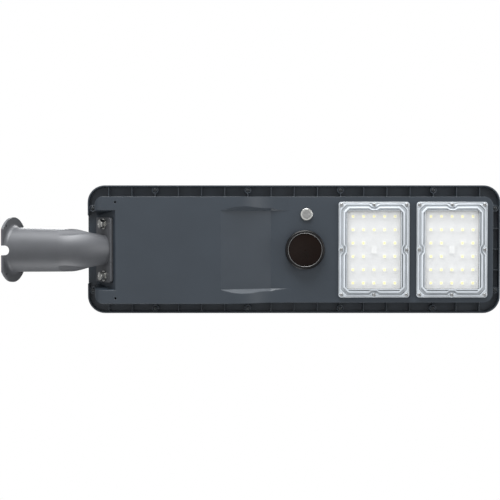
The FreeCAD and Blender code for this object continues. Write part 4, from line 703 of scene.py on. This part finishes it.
class LAMP_OT_stage(bpy.types.Operator):
    """Sets the camera, the soft lights and the pale floor"""
    bl_idname = "lamp.stage"
    bl_label = "Stage"

    # name, place in the head's axes, and size
    LIGHTS = (("key", (0.1, -1.9, -0.45), 1.9), ("side", (-0.2, 1.9, -0.35), 1.5),
              ("fill", (-1.3, -0.4, -0.9), 1.2), ("end", (2.2, -0.3, -0.8), 1.6),
              ("top", (0.1, -0.9, 2.2), 1.6))

    def area_light(self, name, at, aim, size, power):
        data = bpy.data.lights.new(name, "AREA")
        data.shape = "DISK"
        data.size = size
        data.energy = power
        light = add_object(name, data)
        light.location = at
        light.rotation_mode = "QUATERNION"
        light.rotation_quaternion = (aim - at).to_track_quat("-Z", "Y")

    def camera(self, sizes):
        seam = Vector((sizes.along, sizes.across, head_box("panel_frame")[0].z))
        aim = HEAD @ seam
        at = HEAD @ (seam + Vector((0, sizes.lean, -sizes.distance)))
        back = (at - aim).normalized()
        right = HEAD.to_3x3() @ Vector((1, 0, 0))
        right = (right - back * right.dot(back)).normalized()
        data = bpy.data.cameras.new("camera")
        data.lens = data.sensor_width * sizes.distance / sizes.width
        camera = add_object("camera", data)
        turn = Matrix((right, back.cross(right), back)).transposed().to_4x4()
        camera.matrix_world = Matrix.Translation(at) @ turn
        bpy.context.scene.camera = camera

    def world(self, strength):
        world = bpy.data.worlds.new("studio")
        world.use_nodes = True
        tree = world.node_tree
        seen = tree.nodes["Background"]
        set_inputs(tree, seen, {"Color": (1, 1, 1, 1)})
        lit = add_node(tree, "ShaderNodeBackground", {"Color": (0.97, 0.985, 1, 1), "Strength": strength})
        path = add_node(tree, "ShaderNodeLightPath")
        mix = add_node(tree, "ShaderNodeMixShader", {
            0: path.outputs["Is Camera Ray"], 1: lit.outputs[0], 2: seen.outputs[0]})
        set_inputs(tree, tree.nodes["World Output"], {"Surface": mix.outputs[0]})
        bpy.context.scene.world = world

    def floor(self, drop):
        material = finish("floor_paint", (0.88, 0.88, 0.88), 0.7, mottle=0.01, patch=0.5, grain=0.01,
                          depth=0.0001)
        shape = bmesh.new()
        bmesh.ops.create_grid(shape, x_segments=8, y_segments=8, size=40)
        floor = add_object("floor", to_mesh("floor", shape, smooth=False))
        floor.data.transform(Matrix.Translation((0, 0, -drop)))
        floor.data.materials.append(material)

    def execute(self, context):
        sizes = settings().stage
        context.scene.view_settings.view_transform = "Standard"
        self.camera(sizes)
        self.world(sizes.sky)
        self.floor(sizes.drop)
        low, high = head_box("lower_housing")
        aim = HEAD @ middle((low, high))
        for name, place, size in self.LIGHTS:
            self.area_light(name, HEAD @ Vector(place), aim, size, getattr(sizes, name))
        return {"FINISHED"}


def border_ring(half, inset, height, jog, cut, bulge):
    """One ring of a lens border: inset from the cover's edge, stepping in round its eight screws."""
    long, short = half.x - inset, half.y - inset
    near, far = 4.0 * MM, 8.6 * MM
    quarter = [(long - jog, near), (long, far)]
    for k in range(5):
        share = k / 4
        angle = share * math.pi / 2
        arc = Vector((long - cut + cut * math.cos(angle), short - cut + cut * math.sin(angle)))
        line = Vector((long - cut * share, short - cut * (1 - share)))
        quarter.append(tuple(line.lerp(arc, bulge)))
    quarter += [(far, short), (near, short - jog)]
    points = list(quarter)
    points += [(-x, y) for x, y in reversed(quarter)]
    points += [(-x, -y) for x, y in quarter]
    points += [(x, -y) for x, y in reversed(quarter)]
    return [Vector((x, y, height)) for x, y in points]


def build_window(name):
    """A clear slab with a shallow dome over every point of the input."""
    net = NodeTree(name, {"Geometry": "Geometry", "Length": "Float", "Width": "Float", "Thickness": "Float",
                          "Step": "Float", "Dome radius": "Float", "Dome height": "Float",
                          "Finish": "Material"})
    counts = [net.math("ADD", net.math("DIVIDE", net.value(side), net.value("Step")), 1.0)
              for side in ("Length", "Width")]
    grid = net.node("GeometryNodeMeshGrid", {"Size X": net.value("Length"), "Size Y": net.value("Width"),
                                             "Vertices X": counts[0], "Vertices Y": counts[1]})
    under = net.node("GeometryNodeFlipFaces", {"Mesh": grid.outputs["Mesh"]})
    raised = net.node("GeometryNodeExtrudeMesh", {
        "Mesh": grid.outputs["Mesh"], "Offset Scale": net.value("Thickness"), "Individual": False})
    spot = net.node("GeometryNodeInputPosition")
    flat = net.node("ShaderNodeVectorMath", {0: spot.outputs[0], 1: (1, 1, 0)}, operation="MULTIPLY")
    near = net.node("GeometryNodeProximity", {0: net.value("Geometry"), "Sample Position": flat.outputs[0]},
                    target_element="POINTS")
    share = net.math("DIVIDE", near.outputs["Distance"], net.value("Dome radius"))
    rest = net.math("MAXIMUM", net.math("SUBTRACT", 1.0, net.math("POWER", share, 2.0)), 0.0)
    rise = net.math("MULTIPLY", net.math("SQRT", rest), net.value("Dome height"))
    lift = net.node("ShaderNodeCombineXYZ", {"Z": rise})
    domed = net.node("GeometryNodeSetPosition", {
        "Geometry": raised.outputs["Mesh"], "Selection": raised.outputs["Top"], "Offset": lift.outputs[0]})
    both = net.node("GeometryNodeJoinGeometry")
    net.tree.links.new(under.outputs[0], both.inputs[0])
    net.tree.links.new(domed.outputs[0], both.inputs[0])
    closed = net.node("GeometryNodeMergeByDistance", {"Geometry": both.outputs[0], "Distance": MERGE})
    return net.finish(closed.outputs[0], ("Finish", None))


class LAMP_OT_lens_covers(bpy.types.Operator):
    """Makes the two stepped lens covers, each with a domed clear window"""
    bl_idname = "lamp.lens_covers"
    bl_label = "Lens covers"

    def border(self, half, top, sizes):
        """The moulded border; its grooves run round the screws, and its bands carry painted highlight and
        painted shade.
        """
        jog = sizes.jog / MM
        end = sizes.window_inset / MM
        plain, lit_ridge, shaded_groove = range(len(BORDER_FINISHES))
        # inset, height, jog and corner size in mm; the corner's roundness; the finish up to the next row:
        # plain plastic, its painted-highlight copy or its painted-shade copy
        rows = [
            (0, 0, 0, 7, 1, shaded_groove), (0, 2.8, 0, 7, 1, shaded_groove), (0.8, 3.6, 0, 7, 1, plain),
            (2.0, 3.6, 0, 7, 0.9, plain), (2.6, 3.0, jog * 0.4, 7.5, 0.6, lit_ridge),
            (3.3, 3.9, jog, 9, 0.2, lit_ridge), (4.3, 3.9, jog, 9, 0.2, shaded_groove),
            (4.9, 2.6, jog, 9, 0.15, plain), (7.6, 2.6, jog * 0.9, 9, 0.1, lit_ridge),
            (8.4, top - 0.4, jog * 0.9, 8.5, 0.1, lit_ridge), (10.6, top - 0.1, jog * 0.6, 7, 0.1, shaded_groove),
            (11.6, top - 2.2, jog * 0.2, 3.5, 0.2, shaded_groove), (12.4, top - 2.2, 0, 2, 0.4, lit_ridge),
            (12.8, top - 0.7, 0, 1.4, 0.5, lit_ridge), (end - 0.2, top - 0.7, 0, 0.8, 0.5, shaded_groove),
            (end, top - 1.0, 0, 0.5, 0.5, shaded_groove), (end, 0, 0, 0.5, 0.5, plain),
        ]
        shape = bmesh.new()
        rings = [border_ring(half, inset * MM, height * MM, step * MM, cut * MM, bulge)
                 for inset, height, step, cut, bulge, shade in rows]
        loft(shape, rings, closed=True)
        # Each band gets the plain plastic, its painted-highlight copy or its painted-shade copy
        shape.faces.ensure_lookup_table()
        for number, face in enumerate(shape.faces):
            face.material_index = rows[number // len(rings[0])][5]
        mesh = to_mesh("border", shape)
        for name in BORDER_FINISHES:
            mesh.materials.append(bpy.data.materials[name])
        return mesh

    def collar(self):
        """The round well's rim that stands round each screw."""
        return turned_ring("collar", [(3.3 * MM, 2.4 * MM), (3.3 * MM, 3.9 * MM), (3.6 * MM, 4.1 * MM),
                                      (4.3 * MM, 4.0 * MM), (4.7 * MM, 2.4 * MM)], count=24)

    def execute(self, context):
        sizes = settings().lens
        for side in ("inner", "outer"):
            low, high = head_box(f"{side}_lens_cover")
            centre = middle((low, high))
            half = (high - low) / 2
            top = (high.z - low.z) / MM
            inset = sizes.window_inset
            place = Matrix.Translation((centre.x, centre.y, high.z)) @ DOWNWARD
            border = self.border(half, top, sizes)
            leds = [middle(box) for box in solids(f"{side}_led_chips")]
            spots = bpy.data.meshes.new("spots")
            spots.from_pydata([(p.x - centre.x, centre.y - p.y, 0) for p in leds], [], [])
            thickness, grid_step, sink = 1.4 * MM, 1.3 * MM, 1.2 * MM
            window = run_tree("window", spots, tree_named("Domed window", build_window), {
                "Length": 2 * (half.x - inset), "Width": 2 * (half.y - inset),
                "Thickness": thickness, "Step": grid_step, "Dome radius": sizes.dome_radius,
                "Dome height": sizes.dome_height, "Finish": bpy.data.materials["lens_window_plastic"]})
            window.transform(Matrix.Translation((0, 0, top * MM - thickness - sizes.dome_height - sink)))
            window.shade_smooth()
            window.set_sharp_from_angle(angle=CREASE)
            piece(f"{side}_lens_border", border, [], [], HEAD @ place)
            screws = [middle(box) for box in solids(f"{side}_lens_screws")]
            seats = [(p.x - centre.x, centre.y - p.y, 0) for p in screws]
            # The collars carry the lighter copy of the border's plastic, a painted highlight
            collars = scattered("collars", self.collar(), seats, "lens_ridge_plastic")
            piece(f"{side}_screw_collars", collars, [], [], HEAD @ place)
            piece(f"{side}_lens_window", window, [], [f"{side}_lens_cover"], HEAD @ place)
        return {"FINISHED"}


class LAMP_OT_led_chips(bpy.types.Operator):
    """Makes the LED packages with their phosphor faces"""
    bl_idname = "lamp.led_chips"
    bl_label = "LED chips"

    def pattern(self, half, height):
        shape = bmesh.new()
        corner, crown_rise = 0.12, 0.12

        def square(size, level):
            cut = size * corner
            side = [(size, -size + cut), (size, size - cut)]
            return [Matrix.Rotation(k * math.pi / 2, 3, "Z") @ Vector((x, y, level)) for k in range(4)
                    for x, y in side]
        # shares of the half width and of the height, from the foot round the rim and down to the phosphor
        outline = ((1, 0), (1, 0.8), (0.94, 1), (0.86, 1), (0.78, 0.82))
        rings = [square(half * width, height * level) for width, level in outline]
        loops = loft(shape, rings)
        shape.faces.new(loops[0])
        face = shape.faces.new(loops[-1])
        crown = bmesh.ops.poke(shape, faces=[face], offset=height * crown_rise)["faces"]
        shape.faces.index_update()
        marked = {f.index for f in crown}
        mesh = to_mesh("led", shape)
        flags = mesh.attributes.new("second", "BOOLEAN", "FACE")
        for index in marked:
            flags.data[index].value = True
        return mesh

    def execute(self, context):
        for side in ("inner", "outer"):
            boxes = solids(f"{side}_led_chips")
            low, high = boxes[0]
            size = high - low
            mesh = scattered(f"{side}_leds", self.pattern(size.x / 2, size.z), hung(boxes, 1),
                             "led_package_white", "led_phosphor")
            piece(f"{side}_led_packages", mesh, [], [f"{side}_led_chips"], HEAD @ DOWNWARD)
        return {"FINISHED"}


class LAMP_OT_screws(bpy.types.Operator):
    """Makes the cross-head screws of the lens covers and of the panel frame"""
    bl_idname = "lamp.screws"
    bl_label = "Screws"

    def execute(self, context):
        sizes = settings().fastener
        for node, look, shank_share in (("inner_lens_screws", "dull_stainless", 0.5),
                                        ("outer_lens_screws", "dull_stainless", 0.5),
                                        ("frame_screws", "dark_zinc", 0.54)):
            boxes = solids(node)
            low, high = boxes[0]
            radius = (high.x - low.x) / 2
            head = radius * PAN_HEAD
            length = high.z - low.z - head
            pattern = cross_screw("screw", radius, head, radius * shank_share, length, sizes.pitch)
            mesh = scattered(node, pattern, hung(boxes, 0, head), look, turn=math.tau, seed=sizes.seed)
            piece(f"cross_{node}", mesh, [], [node], HEAD @ DOWNWARD)
        return {"FINISHED"}


class LAMP_OT_arm_bolts(bpy.types.Operator):
    """Makes the two hexagon bolts of the arm joint and their nuts"""
    bl_idname = "lamp.arm_bolts"
    bl_label = "Arm bolts"

    def execute(self, context):
        pitch = settings().fastener.bolt_pitch
        into = JOINT.inverted()
        bolts, nuts = solids("arm_bolts", into), solids("arm_nuts", into)
        bearing = min(low.z for low, high in solids("arm_spring_washers", into))
        low, high = bolts[0]
        radius = settings().fastener.bolt_radius
        flat = min(high.x - low.x, high.y - low.y) / 2
        pattern = hex_bolt("bolt", flat, bearing - low.z, radius, high.z - bearing, pitch)
        points = [(p.x, -p.y, -bearing) for p in map(middle, bolts)]
        mesh = scattered("bolts", pattern, points, "stainless_steel", turn=math.tau, seed=BOLT_SEED)
        piece("hexagon_bolts", mesh, [], ["arm_bolts"], JOINT @ DOWNWARD)
        low, high = nuts[0]
        pattern = hex_nut("nut", flat, high.z - low.z, radius, pitch)
        points = [(p.x, p.y, low.z) for p in map(middle, nuts)]
        mesh = scattered("nuts", pattern, points, "stainless_steel", turn=math.tau, seed=NUT_SEED)
        piece("hexagon_nuts", mesh, [], ["arm_nuts"], JOINT)
        return {"FINISHED"}


def build_helix(name):
    """A round wire wound in an even helix about Z."""
    net = NodeTree(name, {"Geometry": "Geometry", "Radius": "Float", "Height": "Float", "Turns": "Float",
                          "Wire radius": "Float", "Finish": "Material"})
    path = net.node("GeometryNodeCurveSpiral", {
        "Resolution": 32, "Rotations": net.value("Turns"), "Start Radius": net.value("Radius"),
        "End Radius": net.value("Radius"), "Height": net.value("Height")})
    section = net.node("GeometryNodeCurvePrimitiveCircle", {
        "Resolution": 10, "Radius": net.value("Wire radius")})
    wire = net.node("GeometryNodeCurveToMesh", {"Curve": path.outputs[0], "Profile Curve": section.outputs[0],
                                                "Fill Caps": True})
    smooth = net.node("GeometryNodeSetShadeSmooth", {"Geometry": wire.outputs[0]})
    return net.finish(smooth.outputs[0], ("Finish", None))


class LAMP_OT_push_button(bpy.types.Operator):
    """Makes the turned button and its coil spring"""
    bl_idname = "lamp.push_button"
    bl_label = "Push button"

    def button(self, box):
        low, high = box
        centre = middle(box)
        radius = (high.x - low.x) / 2
        depth = high.z - low.z
        stem = radius * 0.45
        profile = [(0, 0), (stem, 0), (stem, depth * 0.6), (radius, depth * 0.6), (radius, depth - 0.5 * MM),
                   (radius - 0.15 * MM, depth - 0.15 * MM), (radius - 0.5 * MM, depth)]
        profile += [(radius * share, depth - (1 - share) * 0.25 * MM) for share in (0.8, 0.6, 0.4, 0.2, 0.08)]
        mesh = turned("button", profile + [(0, depth - 0.25 * MM)], count=64)
        place = HEAD @ Matrix.Translation((centre.x, centre.y, high.z)) @ DOWNWARD
        piece("turned_button", mesh, ["turned_stainless"], ["switch_button"], place, "button")

    def spring(self, box):
        low, high = box
        centre = middle(box)
        wire = settings().fastener.spring_wire / 2
        base = bpy.data.meshes.new("spring_seat")
        base.from_pydata([(0, 0, 0)], [], [])
        mesh = run_tree("spring", base, tree_named("Helix", build_helix), {
            "Radius": (high.x - low.x) / 2 - wire, "Height": high.z - low.z - 2 * wire,
            "Turns": settings().fastener.spring_turns, "Wire radius": wire,
            "Finish": bpy.data.materials["spring_wire"]})
        place = HEAD @ Matrix.Translation((centre.x, centre.y, low.z + wire))
        made = piece("button_spring", mesh, [], ["switch_spring"], place)
        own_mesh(made)

    def execute(self, context):
        self.button(head_box("switch_button"))
        self.spring(head_box("switch_spring"))
        return {"FINISHED"}


class LAMP_OT_sensor(bpy.types.Operator):
    """Makes the grey ring round the sensor's dark disc, a painted highlight on the disc's rounded edge"""
    bl_idname = "lamp.sensor"
    bl_label = "Sensor painted highlight"

    def execute(self, context):
        low, high = head_box("sensor_lens")
        face = head_box("sensor_bezel")[0].z
        centre = middle((low, high))
        radius = (high.x - low.x) / 2
        outline = ((-0.4, -1.5), (-0.4, 0.1), (-0.1, 0.35), (0.1, 0.3), (0.3, 0.05), (0.3, -1.5))
        section = [(radius + out * MM, height * MM) for out, height in outline]
        # A thin lighter ring: painted highlight where the disc's rounded edge catches the light
        ring = turned_ring("trim", section, count=96)
        place = HEAD @ Matrix.Translation((centre.x, centre.y, face)) @ DOWNWARD
        piece("sensor_trim_ring", ring, ["sensor_trim_grey"], [], place)
        return {"FINISHED"}


class LAMP_OT_solar_cells(bpy.types.Operator):
    """Makes the silicon cells and the ribbons that join them"""
    bl_idname = "lamp.solar_cells"
    bl_label = "Solar cells"

    def execute(self, context):
        sizes = settings().panel
        boxes = solids("solar_cells")
        low, high = boxes[0]
        half = (high - low) / 2
        thickness = (high.z - low.z) * SILICON
        cell = slab("cell", half.x, half.y, thickness, sizes.cell_corner)
        points = [(p.x, p.y, low.z) for p in map(middle, boxes)]
        mesh = scattered("cells", cell, points, "silicon_cell_blue")
        piece("silicon_cells", mesh, [], ["solar_cells"])
        rows = sorted({round(p[1] / MM, 1) * MM for p in points})
        first, last = head_box("solar_cells")
        centre = middle((first, last))
        ribbon = (high.z - low.z) * RIBBON
        strip = slab("ribbon", (last.x - first.x) / 2 + sizes.ribbon_width, sizes.ribbon_width / 2, ribbon, 0)
        space = half.y * 2 / sizes.ribbons
        steps = [(number - (sizes.ribbons - 1) / 2) * space for number in range(sizes.ribbons)]
        level = low.z + thickness
        lines = [(centre.x, row + step, level) for row in rows for step in steps]
        piece("cell_ribbons", scattered("ribbons", strip, lines, "tinned_ribbon"), [], [])
        bus = slab("bus", sizes.bus_width / 2, half.y * BUS, ribbon, 0)
        reach = (last.x - first.x) / 2 + sizes.ribbon_width + sizes.bus_width / 2
        ends = [(centre.x + side * reach, row, level) for row in rows for side in (-1, 1)]
        piece("bus_ribbons", scattered("buses", bus, ends, "tinned_ribbon"), [], [])
        return {"FINISHED"}


class LAMP_OT_battery_cells(bpy.types.Operator):
    """Makes the sleeved battery cells with their crimped ends"""
    bl_idname = "lamp.battery_cells"
    bl_label = "Battery cells"

    def execute(self, context):
        boxes = solids("battery_cells")
        low, high = boxes[0]
        size = high - low
        length = max(size)
        radius = min(size) / 2
        profile = [(0, 0), (radius * 0.8, 0), (radius * 0.82, 0.3 * MM), (radius - 0.6 * MM, 0.3 * MM),
                   (radius, 0.9 * MM), (radius, length - 4.6 * MM), (radius - 0.8 * MM, length - 3.8 * MM),
                   (radius - 0.8 * MM, length - 3.2 * MM), (radius, length - 2.5 * MM),
                   (radius, length - 1.6 * MM), (radius - 0.7 * MM, length - 0.9 * MM),
                   (radius * 0.72, length - 0.9 * MM),
                   (radius * 0.68, length - 1.3 * MM), (radius * 0.42, length - 1.3 * MM),
                   (radius * 0.38, length - 0.2 * MM), (radius * 0.34, length), (0, length)]
        cell = turned("cell_can", profile, count=40)
        cell.transform(Matrix.Translation((0, 0, -length / 2)))
        cell.transform(Matrix.Rotation(math.pi / 2, 4, "Y" if size.x == length else "X"))
        mesh = scattered("cans", cell, [tuple(middle(box)) for box in boxes], "cell_sleeve_blue")
        piece("sleeved_cells", mesh, [], ["battery_cells"])
        return {"FINISHED"}


class LAMP_OT_controller_parts(bpy.types.Operator):
    """Makes the controller's capacitors and the choke coil's winding"""
    bl_idname = "lamp.controller_parts"
    bl_label = "Controller parts"

    def winding(self, inner, outer, height, wire):
        """One turn of wire round the core's section, seen at angle 0."""
        shape = bmesh.new()
        low, high = -wire, height + wire
        corners_round = [(outer + wire, low), (outer + wire, high), (inner - wire, high), (inner - wire, low)]
        rings = []
        for number, (x, z) in enumerate(corners_round):
            out = Vector((1 if number < 2 else -1, 0, 1 if number in (1, 2) else -1)).normalized()
            rings.append([Vector((x, 0, z)) + wire * (out * math.cos(a) + Vector((0, 1, 0)) * math.sin(a))
                          for a in [math.tau * k / 6 for k in range(6)]])
        loft(shape, rings, closed=True)
        return to_mesh("winding", shape)

    def execute(self, context):
        boxes = solids("capacitors")
        low, high = boxes[0]
        radius, height = (high.x - low.x) / 2, high.z - low.z
        profile = [(0, 0), (radius * 0.9, 0), (radius, 0.4 * MM), (radius, height * 0.1),
                   (radius * 0.92, height * 0.14), (radius, height * 0.18), (radius, height - 0.6 * MM),
                   (radius * 0.93, height - 0.1 * MM), (radius * 0.86, height),
                   (radius * 0.8, height - 0.3 * MM), (0, height - 0.3 * MM)]
        mesh = scattered("cans", turned("can", profile, count=32), hung(boxes, 1), "capacitor_sleeve_dark")
        piece("sleeved_capacitors", mesh, [], ["capacitors"], HEAD @ DOWNWARD)
        low, high = head_box("choke_coil")
        centre = middle((low, high))
        outer = (high.x - low.x) / 2
        hole = outer * 0.42
        wire = 0.35 * MM
        turns = 20
        coil = self.winding(hole, outer, high.z - low.z, wire)
        mesh = scattered("turns", coil, [(centre.x, centre.y, low.z)] * turns, "copper_wire",
                         step=math.tau / turns)
        piece("choke_winding", mesh, [], [])
        return {"FINISHED"}


OPERATORS = (LAMP_OT_finishes, LAMP_OT_stage, LAMP_OT_lens_covers, LAMP_OT_led_chips, LAMP_OT_screws,
             LAMP_OT_arm_bolts, LAMP_OT_push_button, LAMP_OT_sensor, LAMP_OT_solar_cells,
             LAMP_OT_battery_cells, LAMP_OT_controller_parts)


class LAMP_PT_panel(bpy.types.Panel):
    """Lists the lamp's makers"""
    bl_label = "Street Lamp"
    bl_idname = "LAMP_PT_panel"
    bl_space_type = "VIEW_3D"
    bl_region_type = "UI"
    bl_category = "Street Lamp"

    def draw(self, context):
        for operator in OPERATORS:
            self.layout.operator(operator.bl_idname)
        for group in ("colours", "stage", "lens", "fastener", "panel"):
            box = self.layout.box()
            chosen = getattr(context.scene.street_lamp, group)
            for prop in chosen.bl_rna.properties:
                if prop.identifier not in ("rna_type", "name"):
                    box.prop(chosen, prop.identifier)


CLASSES = (LampColours, StageSizes, LensSizes, FastenerSizes, PanelSizes, LampSettings, *OPERATORS,
           LAMP_PT_panel)


def register():
    for item in CLASSES:
        bpy.utils.register_class(item)
    bpy.types.Scene.street_lamp = PointerProperty(
        name="Street lamp", description="Settings of the street lamp", type=LampSettings)


def unregister():
    del bpy.types.Scene.street_lamp
    for item in reversed(CLASSES):
        bpy.utils.unregister_class(item)


def main():
    register()
    for operator in OPERATORS:
        group, name = operator.bl_idname.split(".")
        getattr(getattr(bpy.ops, group), name)()


if __name__ == "__main__":
    main()
